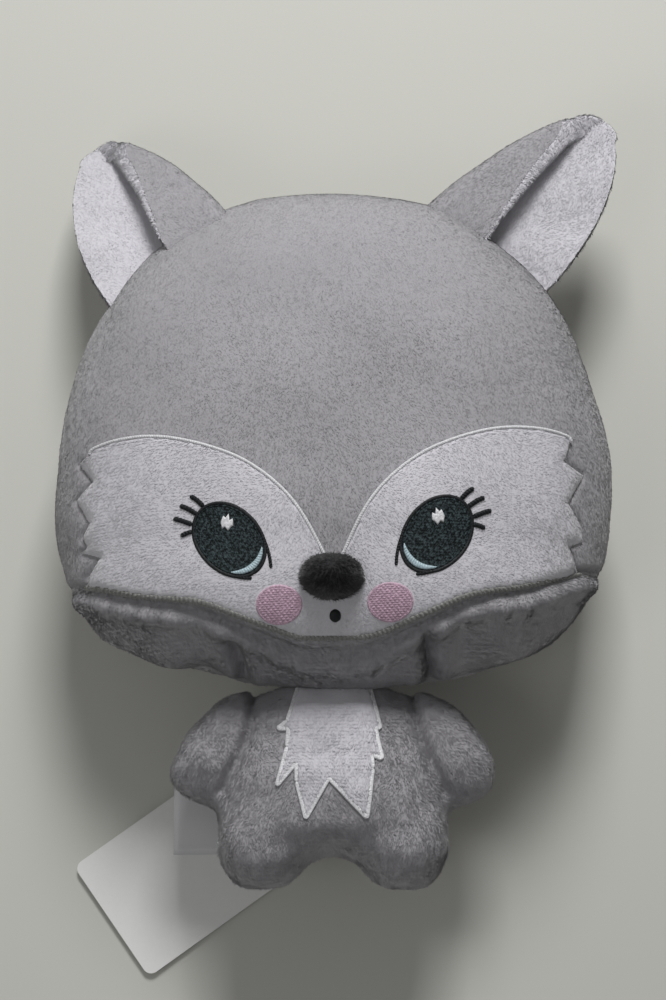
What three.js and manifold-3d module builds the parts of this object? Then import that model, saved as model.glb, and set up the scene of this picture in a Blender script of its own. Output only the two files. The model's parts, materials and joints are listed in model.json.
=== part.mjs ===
// Plush wolf lying on its back: a big round cushion head, two folded ears, a small body with stubby limbs,
// an embroidered face, and the card and label that hang from it. Millimetres, +Z up out of the face,
// +Y towards the crown, origin at the middle of the flat patch that the head lies on.

import * as THREE from 'three';
import { mergeVertices } from 'three/addons/utils/BufferGeometryUtils.js';
import Module from 'manifold-3d';

const wasm = await Module();
wasm.setup();

// Driving dimensions: cloth, thread and clearances
const PLUSH = 2.0;                // thickness of one layer of plush
const GAP = 0.3;                  // gap between pieces that lie against each other
const HINGE_GAP = 0.7;            // gap round a cushion that bends on its neighbour
const THREAD = 0.8;               // height of filled embroidery
const SATIN_WIDTH = 2.2;          // width of a satin-stitch cord
const SATIN_HEIGHT = 2.4;         // height of a satin-stitch cord
const SEAM_THREAD_WIDTH = 1.4;    // width of the thread line above the chin

// Driving dimensions: head, measured from the cheek line, where it is widest
const HEAD_WIDTH = 216;
const HEAD_CROWN = 127;           // cheek line to the top of the head
const HEAD_JAW = 73;              // cheek line to the jaw seam
const HEAD_SEAM_Z = 50;           // the edge seam above the surface that the head lies on
const HEAD_FACE_DEPTH = 54;       // edge seam to the front of the face
const HEAD_FACE_FULLNESS = 2.8;   // power of the dome: a higher one is flatter in the middle
const HEAD_BACK_FULLNESS = 4;
const REST_CUT = 0.5;             // depth by which the back is pressed flat
const REST_CUTTER = 300;          // side of the block that presses it

// Driving dimensions: face, from the cheek line and the middle of the face
const CHIN_DEPTH = 13.2;          // jaw seam to the lowest point of the seam under the face
const CHIN_RISE = 29;             // that point to the ends of the seam, at the sides of the head
const FACE_HALF_WIDTH = 91;       // to the tips of the torn edge
const FACE_TOOTH_DEPTH = 6;
const FACE_TEETH = 4;
const FACE_TILT = 1.5;            // degrees that the face is sewn on askew, about a point between the eyes
const BROW_RISE = 16;             // up to the top of the brows
const BROW_DROP = 33;             // down to where the brows meet above the nose
const EYE_OFFSET = 37.3;
const EYE_DROP = 25.3;
const EYE_HALF_HEIGHT = 16;       // along its leaning long axis
const EYE_HALF_WIDTH = 11.8;
const EYE_LEAN = 40;              // degrees that the long axis leans outwards
const EYE_LINE = 1.4;             // width of the black outline
const EYE_CRESCENT = 2.6;         // thickness of the pale crescent
const GLINT_HEIGHT = 6.2;
const GLINT_WIDTH = 5;
const GLINT_RISE = 6;             // above the middle of the eye
const LASH_ROOT = 1.6;            // width at the outline
const LASH_TIP = 0.9;
const CHEEK_HALF_WIDTH = 8.4;
const CHEEK_HALF_HEIGHT = 6.6;    // on a slope, so that it looks round from the front
const CHEEK_OFFSET = 20;
const CHEEK_DROP = 46.7;
const NOSE_WIDTH = 22.6;
const NOSE_HEIGHT = 16.5;
const NOSE_STAND = 12;            // how far it stands out of the face
const NOSE_DROP = 40.3;
const MOUTH_RADIUS = 2.2;
const MOUTH_BELOW_NOSE = 2;       // lower edge of the nose to the mouth
const MOUTH_HEIGHT = 1.6;

// Driving dimensions: ears
const EAR_SLOPE = 31;             // degrees that the ear's base slopes down from the crown
const EAR_SINK = 6.5;             // how far the base's middle lies inside the head's edge
const EAR_LENGTH = 71;
const EAR_OUTER_REACH = 32.2;     // middle of the base to the open edge
const EAR_FOLD_REACH = 23.7;      // middle of the base to the folded edge
const EAR_FLAP = 21;              // width of the folded flap at the base
const EAR_FLAP_LENGTH = 64;       // where the flap runs out
const EAR_FOLD_RADIUS = 5.2;      // middle of the cloth round the fold, at the base
const EAR_TIP_RADIUS = 3.2;       // the same at the tip
const EAR_ROOT = 10;              // length that reaches into the head before it is trimmed there
const EAR_BACK = 45;              // degrees that an ear bends back from level
const EAR_FORWARD = 25;           // degrees that an ear bends forwards from level

// Each ear, in degrees: round the head from the cheek line, outwards along the edge, and flopped back
const EARS = {
  left: { side: -1, bearing: 55, lean: 0, drop: 25 },
  right: { side: 1, bearing: 58.5, lean: 12, drop: 0 },
};

// Driving dimensions: body and limbs
const NECK_OVERLAP = 6;           // how far the body reaches under the jaw before it is trimmed
const TORSO_WIDTH = 85.5;
const TORSO_LENGTH = 71;
const TORSO_SEAT = 17;            // widest line to the lower edge
const TORSO_FRONT = 24;           // edge seam to the belly
const TORSO_BACK = 22;
const NOD_FORWARD = 8;            // degrees
const NOD_BACK = 18;
const ARM_LENGTH = 50;
const ARM_WIDTH = 29;
const ARM_DEPTH = 14;             // edge seam to the front, and to the back
const ARM_SPREAD = 41;            // degrees out from straight down
const ARM_OFFSET = 40.5;          // middle of the body to the middle of the arm
const ARM_RISE = 26.5;            // the body's widest line to the middle of the arm
const ARM_HINGE_INSET = 5;        // middle of the arm to the shoulder line
const ARM_FORWARD = 40;           // degrees
const ARM_BACK = 25;
const LEG_WIDTH = 34;
const LEG_LENGTH = 32;
const LEG_TOE = 17;               // middle of the leg to its end
const LEG_DEPTH = 20;
const LEG_FULLNESS = 2.8;         // power of its dome
const LEG_OFFSET = 26;
const LEG_DROP = 9.5;             // the body's widest line to the middle of the leg
const LEG_HINGE_RISE = 6;         // middle of the leg to the hip line
const LEG_FORWARD = 25;           // degrees
const LEG_BACK = 15;

// Driving dimensions: bib, label and card
const BIB_HALF = 19;              // to the side teeth
const BIB_LENGTH = 47.7;
const BIB_TOP_DROP = 3;           // jaw seam to the top of the bib, hidden under the chin
const LABEL_LENGTH = 38;
const LABEL_REACH = 59;
const LABEL_FALL = 4;
const LABEL_THICKNESS = 0.6;
const LABEL_EDGE = 61;            // middle of the body to the free edge
const LABEL_RISE = 8;             // the body's widest line to the middle of the label
const TAG_WIDTH = 52;
const TAG_LENGTH = 72;
const TAG_CORNER = 3.5;
const TAG_THICKNESS = 0.6;
const TAG_HOLE = 2;               // radius
const TAG_HOLE_EDGE = 8;          // hole to the upper edge
const TAG_BEARING = 215.4;        // degrees from +X to the way the card points
const PADDLE_LENGTH = 8;
const PADDLE_WIDTH = 5;
const PADDLE_THICKNESS = 1.2;
const FILAMENT = 0.6;             // radius
const STEM_INSET = 19;            // label's free edge to the stem
const STEM_PLACE = 0.15;          // middle of the label to the stem, as a share of the label's length
const STEM_FOOT_SHIFT = 8;        // how far the stem slants under the body

const radians = THREE.MathUtils.degToRad;
const HALF = 0.5;
const SIDES = { left: -1, right: 1 };
const AXIS_X = new THREE.Vector3(1, 0, 0);
const AXIS_Z = new THREE.Vector3(0, 0, 1);

// Materials, as the photograph shows them
const cloth = (colour, roughness = 0.95) => new THREE.MeshStandardMaterial({ color: colour, roughness });
const greyPlush = cloth(0x9a989b);
const whitePlush = cloth(0xe6e4e8);
const fibreFill = cloth(0xf1f0ec, 1);
const whiteThread = cloth(0xf2f2f3, 0.45);
const greyThread = cloth(0x7d807c, 0.6);
const blackThread = cloth(0x17181a, 0.5);
const charcoalThread = cloth(0x3b4347, 0.55);
const iceThread = cloth(0xb9ccd2, 0.5);
const pinkThread = cloth(0xc98fab, 0.55);
const blackPlush = cloth(0x1d1c1e);
const satin = cloth(0xe9e9e9, 0.4);
const card = cloth(0xf4f4f2, 0.7);
const nylon = cloth(0xe8eceb, 0.3);

// Solids: a closed geometry becomes a solid that can be joined and cut, and comes back as a geometry
function toSolid(geometry) {
  const bare = new THREE.BufferGeometry();
  bare.setAttribute('position', geometry.getAttribute('position'));
  bare.setIndex(geometry.getIndex());
  const merged = mergeVertices(bare);
  return new wasm.Manifold(new wasm.Mesh({
    numProp: 3,
    vertProperties: new Float32Array(merged.getAttribute('position').array),
    triVerts: new Uint32Array(merged.getIndex().array),
  }));
}

function toGeometry(solid) {
  const { vertProperties, triVerts } = solid.getMesh();
  const geometry = new THREE.BufferGeometry();
  geometry.setAttribute('position', new THREE.BufferAttribute(new Float32Array(vertProperties), 3));
  geometry.setIndex(new THREE.BufferAttribute(new Uint32Array(triVerts), 1));
  geometry.computeVertexNormals();
  return geometry;
}

// The body of a cut piece, without slivers that the cut leaves behind
function mainBody(solid) {
  const bodies = solid.decompose();
  return bodies.reduce((best, body) => (body.volume() > best.volume() ? body : best));
}

function turnedAbout(geometry, pivot, axis, degrees) {
  return geometry.clone()
    .translate(-pivot.x, -pivot.y, -pivot.z)
    .applyMatrix4(new THREE.Matrix4().makeRotationAxis(axis, radians(degrees)))
    .translate(pivot.x, pivot.y, pivot.z);
}

// Room for a piece to bend: its neighbour is cut away at every few degrees of the hinge's range
const SWEEP_STEP = 17;            // degrees

function clearOf(solid, neighbour, hinge) {
  const steps = Math.ceil((hinge.max - hinge.min) / SWEEP_STEP);
  const angles = [0];
  for (let i = 0; i <= steps; i += 1) {
    angles.push(hinge.min + ((hinge.max - hinge.min) * i) / steps);
  }
  return angles.reduce(
    (left, angle) => left.subtract(toSolid(turnedAbout(neighbour, hinge.pivot, hinge.axis, -angle))),
    solid,
  );
}

// A closed mesh made up of domes and strips
class Skin {
  constructor() {
    this.points = [];
    this.faces = [];
  }

  loop(points) {
    const start = this.points.length / 3;
    points.forEach((point) => this.points.push(point.x, point.y, point.z));
    return points.map((_, i) => start + i);
  }

  face(a, b, c, flip) {
    this.faces.push(...(flip ? [a, c, b] : [a, b, c]));
  }

  strip(inner, outer, flip, closed = true) {
    const last = closed ? inner.length : inner.length - 1;
    for (let i = 0; i < last; i += 1) {
      const next = (i + 1) % inner.length;
      this.face(inner[i], outer[i], outer[next], flip);
      this.face(inner[i], outer[next], inner[next], flip);
    }
  }

  dome(apex, rings, flip) {
    const [top] = this.loop([apex]);
    const loops = rings.map((ring) => this.loop(ring));
    loops[0].forEach((point, i) => this.face(top, point, loops[0][(i + 1) % loops[0].length], flip));
    for (let i = 1; i < loops.length; i += 1) {
      this.strip(loops[i - 1], loops[i], flip);
    }
    return loops[loops.length - 1];
  }

  geometry() {
    const geometry = new THREE.BufferGeometry();
    geometry.setAttribute('position', new THREE.Float32BufferAttribute(this.points, 3));
    geometry.setIndex(this.faces);
    return geometry;
  }
}

// A cushion: two domed panels that meet at a flat edge seam. Its outline is a superellipse
// whose upper and lower halves have a reach and a squareness of their own.
class Cushion {
  constructor(shape) {
    Object.assign(this, { turn: 0, ...shape });
    this.angles = Array.from({ length: this.sides }, (_, i) => (i * 2 * Math.PI) / this.sides);
  }

  place(x, y, z) {
    const point = new THREE.Vector3(x, y, z).applyAxisAngle(AXIS_Z, radians(this.turn));
    return point.add(new THREE.Vector3(this.x, this.y, 0));
  }

  rim(angle, share = 1, grow = 0, z = 0) {
    const across = Math.cos(angle);
    const along = Math.sin(angle);
    const half = along >= 0 ? this.up : this.down;
    const bend = (value) => Math.sign(value) * Math.abs(value) ** (2 / half.power);
    const x = (this.halfWidth + grow) * share * bend(across);
    return this.place(x, (half.reach + grow) * share * bend(along), z);
  }

  height(panel, share, grow) {
    return (panel.depth + grow) * (1 - share ** panel.flat) ** panel.round;
  }

  // Apex and rings of one panel, grown outwards or, where grow is negative, drawn inwards
  surface(side, grow, lift, every = 1) {
    const panel = side > 0 ? this.front : this.back;
    const level = (share) => this.seamZ + side * (lift + this.height(panel, share, grow));
    const shares = panel.rings.filter((_, i) => (panel.rings.length - 1 - i) % every === 0);
    const angles = this.angles.filter((_, i) => i % every === 0);
    const rings = shares.map((share) => angles.map((a) => this.rim(a, share, grow, level(share))));
    return { apex: this.place(0, 0, level(0)), rings };
  }

  panel(side) {
    const outer = this.surface(side, 0, GAP / 2);
    const inner = this.surface(side, -PLUSH, GAP / 2);
    const skin = new Skin();
    const outerEdge = skin.dome(outer.apex, outer.rings, side < 0);
    const innerEdge = skin.dome(inner.apex, inner.rings, side > 0);
    skin.strip(outerEdge, innerEdge, side < 0);
    return skin.geometry();
  }

  body(grow, every = 1) {
    const front = this.surface(1, grow, 0, every);
    const back = this.surface(-1, grow, 0, every);
    const skin = new Skin();
    skin.dome(front.apex, front.rings, false);
    skin.dome(back.apex, back.rings, true);
    return skin.geometry();
  }

  // The fill, with half as many corners as the panels round it
  stuffing() {
    return this.body(-PLUSH - GAP, 2);
  }

  // A thin layer that lies on the front panel, raised by lift
  layer(lift, thickness) {
    return toSolid(this.body(lift + thickness + GAP / 2)).subtract(toSolid(this.body(lift + GAP / 2)));
  }

  frontTop() {
    return this.seamZ + this.front.depth;
  }
}

// Flat outlines and what is cut with them
const point2 = (x, y) => new THREE.Vector2(x, y);

function prism(outline, bottom, top) {
  const geometry = new THREE.ExtrudeGeometry(new THREE.Shape(outline), {
    depth: top - bottom,
    bevelEnabled: false,
    curveSegments: 1,
  });
  return toSolid(geometry.translate(0, 0, bottom));
}

function curveThrough(points, steps) {
  return new THREE.SplineCurve(points).getPoints(steps);
}

// A band of even width along a line of points
function band(points, width) {
  const side = (direction) => points.map((point, i) => {
    const before = points[Math.max(i - 1, 0)];
    const after = points[Math.min(i + 1, points.length - 1)];
    const along = after.clone().sub(before).normalize();
    return point2(point.x - along.y * direction, point.y + along.x * direction);
  });
  return [...side(width / 2), ...side(-width / 2).reverse()];
}

function ellipse(x, y, halfWidth, halfHeight, leanDegrees, sides) {
  return new THREE.EllipseCurve(x, y, halfWidth, halfHeight, 0, 2 * Math.PI, false, radians(leanDegrees))
    .getPoints(sides)
    .slice(0, sides);
}

const mirrored = (points, side) => points.map((point) => point2(point.x * side, point.y));

// A closed outline moved outwards, or inwards where the distance is negative, with its corners kept
const LONGEST_CORNER = 2.2;       // a corner moves by no more than this many distances

function offset(points, distance) {
  return points.map((point, i) => {
    const before = point.clone().sub(points[(i + points.length - 1) % points.length]).normalize();
    const after = points[(i + 1) % points.length].clone().sub(point).normalize();
    const outward = point2(before.y + after.y, -before.x - after.x).normalize();
    const stretch = Math.min(1 / Math.abs(outward.x * after.y - outward.y * after.x), LONGEST_CORNER);
    return point.clone().addScaledVector(outward, distance * stretch);
  });
}

const wolf = new THREE.Group();

function add(name, geometry, material) {
  const mesh = new THREE.Mesh(geometry, material);
  mesh.name = name;
  wolf.add(mesh);
}

// Cushions
const head = new Cushion({
  x: 0,
  y: 0,
  seamZ: HEAD_SEAM_Z,
  halfWidth: HEAD_WIDTH * HALF,
  up: { reach: HEAD_CROWN, power: 2.25 },
  down: { reach: HEAD_JAW, power: 2.6 },
  front: {
    depth: HEAD_FACE_DEPTH,
    flat: HEAD_FACE_FULLNESS,
    round: 0.62,
    rings: [0.3, 0.52, 0.69, 0.81, 0.9, 0.96, 1],
  },
  back: {
    depth: HEAD_SEAM_Z - GAP / 2 + REST_CUT,
    flat: HEAD_BACK_FULLNESS,
    round: 0.7,
    rings: [0.32, 0.58, 0.78, 0.92, 1],
  },
  sides: 32,
});

const torso = new Cushion({
  x: 0,
  y: -HEAD_JAW + NECK_OVERLAP - (TORSO_LENGTH - TORSO_SEAT),
  seamZ: HEAD_SEAM_Z,
  halfWidth: TORSO_WIDTH * HALF,
  up: { reach: TORSO_LENGTH - TORSO_SEAT, power: 2.3 },
  down: { reach: TORSO_SEAT, power: 2.5 },
  front: { depth: TORSO_FRONT, flat: 2.4, round: 0.62, rings: [0.35, 0.62, 0.82, 0.93, 1] },
  back: { depth: TORSO_BACK, flat: 2.6, round: 0.62, rings: [0.45, 0.75, 0.92, 1] },
  sides: 24,
});

const LIMB_RINGS = [0.45, 0.75, 0.92, 1];
const limb = { seamZ: HEAD_SEAM_Z, sides: 16 };

const armCushion = (side) => new Cushion({
  ...limb,
  x: side * ARM_OFFSET,
  y: torso.y + ARM_RISE,
  turn: side * ARM_SPREAD,
  halfWidth: ARM_WIDTH * HALF,
  up: { reach: ARM_LENGTH * HALF, power: 2.4 },
  down: { reach: ARM_LENGTH * HALF, power: 2.4 },
  front: { depth: ARM_DEPTH, flat: 2.6, round: 0.62, rings: LIMB_RINGS },
  back: { depth: ARM_DEPTH, flat: 2.6, round: 0.62, rings: LIMB_RINGS },
});

const legCushion = (side) => new Cushion({
  ...limb,
  x: side * LEG_OFFSET,
  y: torso.y - LEG_DROP,
  halfWidth: LEG_WIDTH * HALF,
  up: { reach: LEG_LENGTH - LEG_TOE, power: 2.4 },
  down: { reach: LEG_TOE, power: 2.4 },
  front: { depth: LEG_DEPTH, flat: LEG_FULLNESS, round: 0.6, rings: LIMB_RINGS },
  back: { depth: LEG_DEPTH, flat: LEG_FULLNESS, round: 0.6, rings: LIMB_RINGS },
});

// Hinges: the sewn lines that the pieces bend along
const neck = {
  pivot: new THREE.Vector3(0, -HEAD_JAW, HEAD_SEAM_Z),
  axis: AXIS_X,
  min: -NOD_FORWARD,
  max: NOD_BACK,
};

function shoulder(side) {
  const arm = armCushion(side);
  return {
    pivot: arm.place(-side * ARM_HINGE_INSET, 0, HEAD_SEAM_Z),
    axis: new THREE.Vector3(0, -side, 0).applyAxisAngle(AXIS_Z, radians(arm.turn)),
    min: -ARM_BACK,
    max: ARM_FORWARD,
  };
}

function hip(side) {
  const leg = legCushion(side);
  return {
    pivot: new THREE.Vector3(leg.x, leg.y + LEG_HINGE_RISE, HEAD_SEAM_Z),
    axis: AXIS_X.clone().negate(),
    min: -LEG_BACK,
    max: LEG_FORWARD,
  };
}

// The head: front panel and chin gusset part along the seam under the face
const BLOCK_TOP = head.frontTop() + HEAD_SEAM_Z;
const FACE_MIDDLE = point2(0, -EYE_DROP);

const tilted = (points) => points.map((point) => point.clone().rotateAround(FACE_MIDDLE, radians(FACE_TILT)));

// Half of the seam, as shares of the head's half width and of its rise
const CHIN_LINE = [
  [0.12, 0.02], [0.22, 0.14], [0.32, 0.28], [0.46, 0.48], [0.65, 0.62], [0.85, 0.86], [1, 1],
];

function chinSeam() {
  const lowest = -HEAD_JAW + CHIN_DEPTH;
  const half = (side) => CHIN_LINE.map(
    ([out, up]) => point2(side * HEAD_WIDTH * HALF * out, lowest + CHIN_RISE * up),
  );
  return curveThrough([...half(-1).reverse(), point2(0, lowest), ...half(1)], 36);
}

function belowSeam(shift) {
  const seam = tilted(chinSeam()).map((point) => point2(point.x, point.y + shift));
  const side = HEAD_WIDTH;
  const floor = -HEAD_JAW * 2;
  const outline = [point2(-side, floor), point2(side, floor), point2(side, seam[seam.length - 1].y)];
  return [...outline, ...seam.slice().reverse(), point2(-side, seam[0].y)];
}

function makeHead() {
  const front = toSolid(head.panel(1));
  const forehead = front.subtract(prism(belowSeam(GAP / 2), 0, BLOCK_TOP));
  const chin = front.intersect(prism(belowSeam(-GAP / 2), 0, BLOCK_TOP));
  const floor = new THREE.BoxGeometry(REST_CUTTER, REST_CUTTER, REST_CUTTER)
    .translate(0, 0, -REST_CUTTER * HALF);
  add('head_front_panel', toGeometry(mainBody(forehead)), greyPlush);
  add('chin_gusset', toGeometry(mainBody(chin)), greyPlush);
  add('head_back_panel', toGeometry(toSolid(head.panel(-1)).subtract(toSolid(floor))), greyPlush);
  add('head_stuffing', toGeometry(toSolid(head.stuffing())), fibreFill);
}

// The face: applique, cords and embroidery lie on the front panel in layers
const FACE_LIFT = GAP;
const STITCH_LIFT = FACE_LIFT + PLUSH + GAP;
const ON_STITCH_LIFT = STITCH_LIFT + THREAD + GAP;

function onFace(outlineSolid, lift, thickness) {
  return head.layer(lift, thickness).intersect(outlineSolid);
}

const facePrism = (outline) => prism(tilted(outline), HEAD_SEAM_Z, BLOCK_TOP);

// A brow from its outer end to the nose, as shares of the face's half width and of the brow's rise or drop
const BROW_LINE = [
  [1, 0.75], [0.96, 0.94], [0.86, 1], [0.73, 0.95], [0.6, 0.75],
  [0.42, 0.27], [0.26, -0.22], [0.12, -0.67], [0.03, -1],
];

function browLine(side) {
  const points = BROW_LINE.map(
    ([out, up]) => point2(FACE_HALF_WIDTH * out, up * (up > 0 ? BROW_RISE : BROW_DROP)),
  );
  return curveThrough(mirrored(points, side), 24);
}

// The torn edge of the face, from the brow down to the seam
function tornEdge(side, top, bottom) {
  const points = [];
  for (let i = 1; i < FACE_TEETH * 2; i += 1) {
    const depth = i % 2 ? FACE_TOOTH_DEPTH : 0;
    points.push(point2(side * (FACE_HALF_WIDTH - depth), top + ((bottom - top) * i) / (FACE_TEETH * 2)));
  }
  return points;
}

function faceOutline() {
  const rightBrow = browLine(1);
  const leftBrow = browLine(-1);
  const seam = chinSeam().filter((point) => Math.abs(point.x) < FACE_HALF_WIDTH);
  const browEnd = rightBrow[0].y;
  const seamEnd = seam[0].y;
  return [
    ...seam,
    ...tornEdge(1, seamEnd, browEnd),
    ...rightBrow,
    ...leftBrow.slice().reverse(),
    ...tornEdge(-1, browEnd, seamEnd),
  ];
}

function makeFace() {
  const seamLine = chinSeam().filter((point) => Math.abs(point.x) < FACE_HALF_WIDTH);
  let face = facePrism(faceOutline()).subtract(facePrism(band(seamLine, SEAM_THREAD_WIDTH + 2 * GAP)));
  Object.values(SIDES).forEach((side) => {
    face = face.subtract(facePrism(band(browLine(side), SATIN_WIDTH + 2 * GAP)));
  });
  add('face_panel', toGeometry(mainBody(onFace(face, FACE_LIFT, PLUSH))), whitePlush);
  Object.entries(SIDES).forEach(([name, side]) => {
    const apart = facePrism([
      point2(side * GAP, -HEAD_JAW),
      point2(side * HEAD_WIDTH, -HEAD_JAW),
      point2(side * HEAD_WIDTH, HEAD_CROWN),
      point2(side * GAP, HEAD_CROWN),
    ]);
    const cord = facePrism(band(browLine(side), SATIN_WIDTH)).intersect(apart);
    add(`brow_stitch_${name}`, toGeometry(mainBody(onFace(cord, FACE_LIFT, SATIN_HEIGHT))), whiteThread);
    makeEye(name, side);
    const cheek = ellipse(side * CHEEK_OFFSET, -CHEEK_DROP, CHEEK_HALF_WIDTH, CHEEK_HALF_HEIGHT, 0, 24);
    add(`cheek_${name}`, toGeometry(onFace(facePrism(cheek), STITCH_LIFT, THREAD)), pinkThread);
  });
  const seamThread = facePrism(band(seamLine, SEAM_THREAD_WIDTH));
  add('jaw_seam_thread', toGeometry(mainBody(onFace(seamThread, FACE_LIFT, PLUSH))), greyThread);
  makeNose();
  const mouthDrop = NOSE_DROP + NOSE_HEIGHT * HALF + MOUTH_BELOW_NOSE + MOUTH_RADIUS;
  const mouth = facePrism(ellipse(0, -mouthDrop, MOUTH_RADIUS, MOUTH_RADIUS, 0, 12));
  add('mouth_dot', toGeometry(onFace(mouth, STITCH_LIFT, MOUTH_HEIGHT)), blackThread);
}

// Lashes: root and tip from the middle of the eye, outwards and up, as shares of its half height
const LASHES = [
  [[0.53, 0.75], [0.87, 1.06]],
  [[0.68, 0.6], [1.11, 0.86]],
  [[0.78, 0.38], [1.26, 0.575]],
  [[0.78, 0.25], [1.1, 0.16]],
];

function makeEye(name, side) {
  const oval = (inset, dx = 0, dy = 0) => facePrism(ellipse(
    side * (EYE_OFFSET + dx),
    -EYE_DROP + dy,
    EYE_HALF_WIDTH - inset,
    EYE_HALF_HEIGHT - inset,
    -side * EYE_LEAN,
    28,
  ));
  let outline = oval(0).subtract(oval(EYE_LINE));
  LASHES.forEach(([root, tip]) => {
    const ends = [root, tip].map(([out, up]) => point2(
      side * (EYE_OFFSET + EYE_HALF_HEIGHT * out),
      -EYE_DROP + EYE_HALF_HEIGHT * up,
    ));
    const across = ends[1].clone().sub(ends[0]).normalize().rotateAround(point2(0, 0), Math.PI / 2);
    const corner = (end, width) => ends[end].clone().addScaledVector(across, width / 2);
    const lash = [corner(0, LASH_ROOT), corner(0, -LASH_ROOT), corner(1, -LASH_TIP), corner(1, LASH_TIP)];
    outline = outline.add(facePrism(lash).subtract(oval(EYE_LINE)));
  });
  const inset = EYE_LINE + GAP;
  const crescent = oval(inset).subtract(oval(inset, EYE_CRESCENT * HALF, EYE_CRESCENT));
  const glint = ellipse(
    side * EYE_OFFSET,
    -EYE_DROP + GLINT_RISE,
    GLINT_WIDTH * HALF,
    GLINT_HEIGHT * HALF,
    -side * EYE_LEAN,
    8,
  );
  add(`eye_${name}_outline`, toGeometry(mainBody(onFace(outline, STITCH_LIFT, THREAD))), blackThread);
  add(`eye_${name}_iris`, toGeometry(onFace(oval(inset), STITCH_LIFT, THREAD)), charcoalThread);
  add(`eye_${name}_crescent`, toGeometry(mainBody(onFace(crescent, ON_STITCH_LIFT, THREAD))), iceThread);
  add(`eye_${name}_glint`, toGeometry(onFace(facePrism(glint), ON_STITCH_LIFT, THREAD)), whiteThread);
}

// A stuffed pouch, flat where it is sewn to the face
function makeNose() {
  const [middle] = tilted([point2(0, -NOSE_DROP)]);
  const pouch = new THREE.SphereGeometry(1, 16, 10)
    .scale(NOSE_WIDTH * HALF, NOSE_HEIGHT * HALF, NOSE_STAND)
    .translate(middle.x, middle.y, head.frontTop());
  const ground = toSolid(head.body(STITCH_LIFT + SATIN_HEIGHT - PLUSH + GAP / 2));
  add('nose', toGeometry(mainBody(toSolid(pouch).subtract(ground))), blackPlush);
}

// An ear: two layers of cloth, bent into a J across its width, narrowing to the tip
const EAR_STATIONS = [-EAR_ROOT / EAR_LENGTH, 0.08, 0.24, 0.42, 0.6, 0.76, 0.9, 1];
const BASE_STEPS = 4;
const FOLD_STEPS = 6;
const FLAP_STEPS = 3;
const EAR_BLUNT = 0.985;          // share of the length at which the tip is blunt
const OPEN_EDGE = { bend: 1.9, round: 0.6 };
const FOLD_EDGE = { bend: 1.4, round: 0.52 };

// Middle line of the cloth across the ear at one station, from the open edge to the flap's edge
function earSection(share, offset) {
  const reach = Math.min(Math.max(share, 0), EAR_BLUNT);
  const narrowed = (edge) => (1 - reach ** edge.bend) ** edge.round;
  const radius = THREE.MathUtils.lerp(EAR_FOLD_RADIUS, EAR_TIP_RADIUS, reach);
  const open = EAR_OUTER_REACH * narrowed(OPEN_EDGE);
  const fold = -EAR_FOLD_REACH * narrowed(FOLD_EDGE);
  const flap = Math.max(EAR_FLAP * (1 - (reach * EAR_LENGTH) / EAR_FLAP_LENGTH), PLUSH);
  const turnX = fold + radius;
  const openX = Math.max(open, turnX + PLUSH);
  const r = radius - offset;
  const points = [];
  for (let i = 0; i < BASE_STEPS; i += 1) {
    points.push(point2(THREE.MathUtils.lerp(openX, turnX, i / BASE_STEPS), offset));
  }
  for (let i = 0; i <= FOLD_STEPS; i += 1) {
    const angle = (Math.PI * i) / FOLD_STEPS;
    points.push(point2(turnX - r * Math.sin(angle), radius - r * Math.cos(angle)));
  }
  for (let i = 1; i <= FLAP_STEPS; i += 1) {
    points.push(point2(turnX + (flap * i) / FLAP_STEPS, 2 * radius - offset));
  }
  return points;
}

// One layer of the ear between two offsets from its middle line
function earLayer(low, high, side, lean) {
  const skin = new Skin();
  const station = (share, height) => skin.loop(earSection(share, height).map((p) => {
    const along = share * EAR_LENGTH;
    return new THREE.Vector3(side * (p.x + Math.tan(radians(lean)) * along), along - EAR_SINK, p.y);
  }));
  const lower = EAR_STATIONS.map((share) => station(share, low));
  const upper = EAR_STATIONS.map((share) => station(share, high));
  const last = EAR_STATIONS.length - 1;
  const flip = side < 0;
  for (let i = 0; i < last; i += 1) {
    skin.strip(upper[i], upper[i + 1], flip, false);
    skin.strip(lower[i], lower[i + 1], !flip, false);
  }
  skin.strip(lower[0], upper[0], flip, false);
  skin.strip(lower[last], upper[last], !flip, false);
  [0, earSection(0, 0).length - 1].forEach((edge, i) => {
    const low1 = lower.map((row) => row[edge]);
    const high1 = upper.map((row) => row[edge]);
    skin.strip(low1, high1, i ? flip : !flip, false);
  });
  return skin.geometry();
}

// An ear is sewn in at a point of the head's edge and bends along its base
function makeEar(name, { side, bearing, lean, drop }) {
  const turn = -side * radians(EAR_SLOPE);
  const hinge = {
    pivot: head.rim(radians(side > 0 ? bearing : 180 - bearing), 1, 0, HEAD_SEAM_Z),
    axis: AXIS_X.clone().applyAxisAngle(AXIS_Z, turn),
    min: drop - EAR_BACK,
    max: drop + EAR_FORWARD,
  };
  const layers = {
    outer: { low: -GAP / 2 - PLUSH, high: -GAP / 2, material: greyPlush },
    lining: { low: GAP / 2, high: GAP / 2 + PLUSH, material: whitePlush },
  };
  Object.entries(layers).forEach(([layer, { low, high, material }]) => {
    const flat = earLayer(low, high, side, lean)
      .rotateZ(turn)
      .translate(hinge.pivot.x, hinge.pivot.y, hinge.pivot.z);
    const sewn = turnedAbout(flat, hinge.pivot, hinge.axis, -drop);
    const trimmed = mainBody(clearOf(toSolid(sewn), head.body(HINGE_GAP), hinge));
    add(`ear_${name}_${layer}`, toGeometry(trimmed), material);
  });
}

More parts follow.
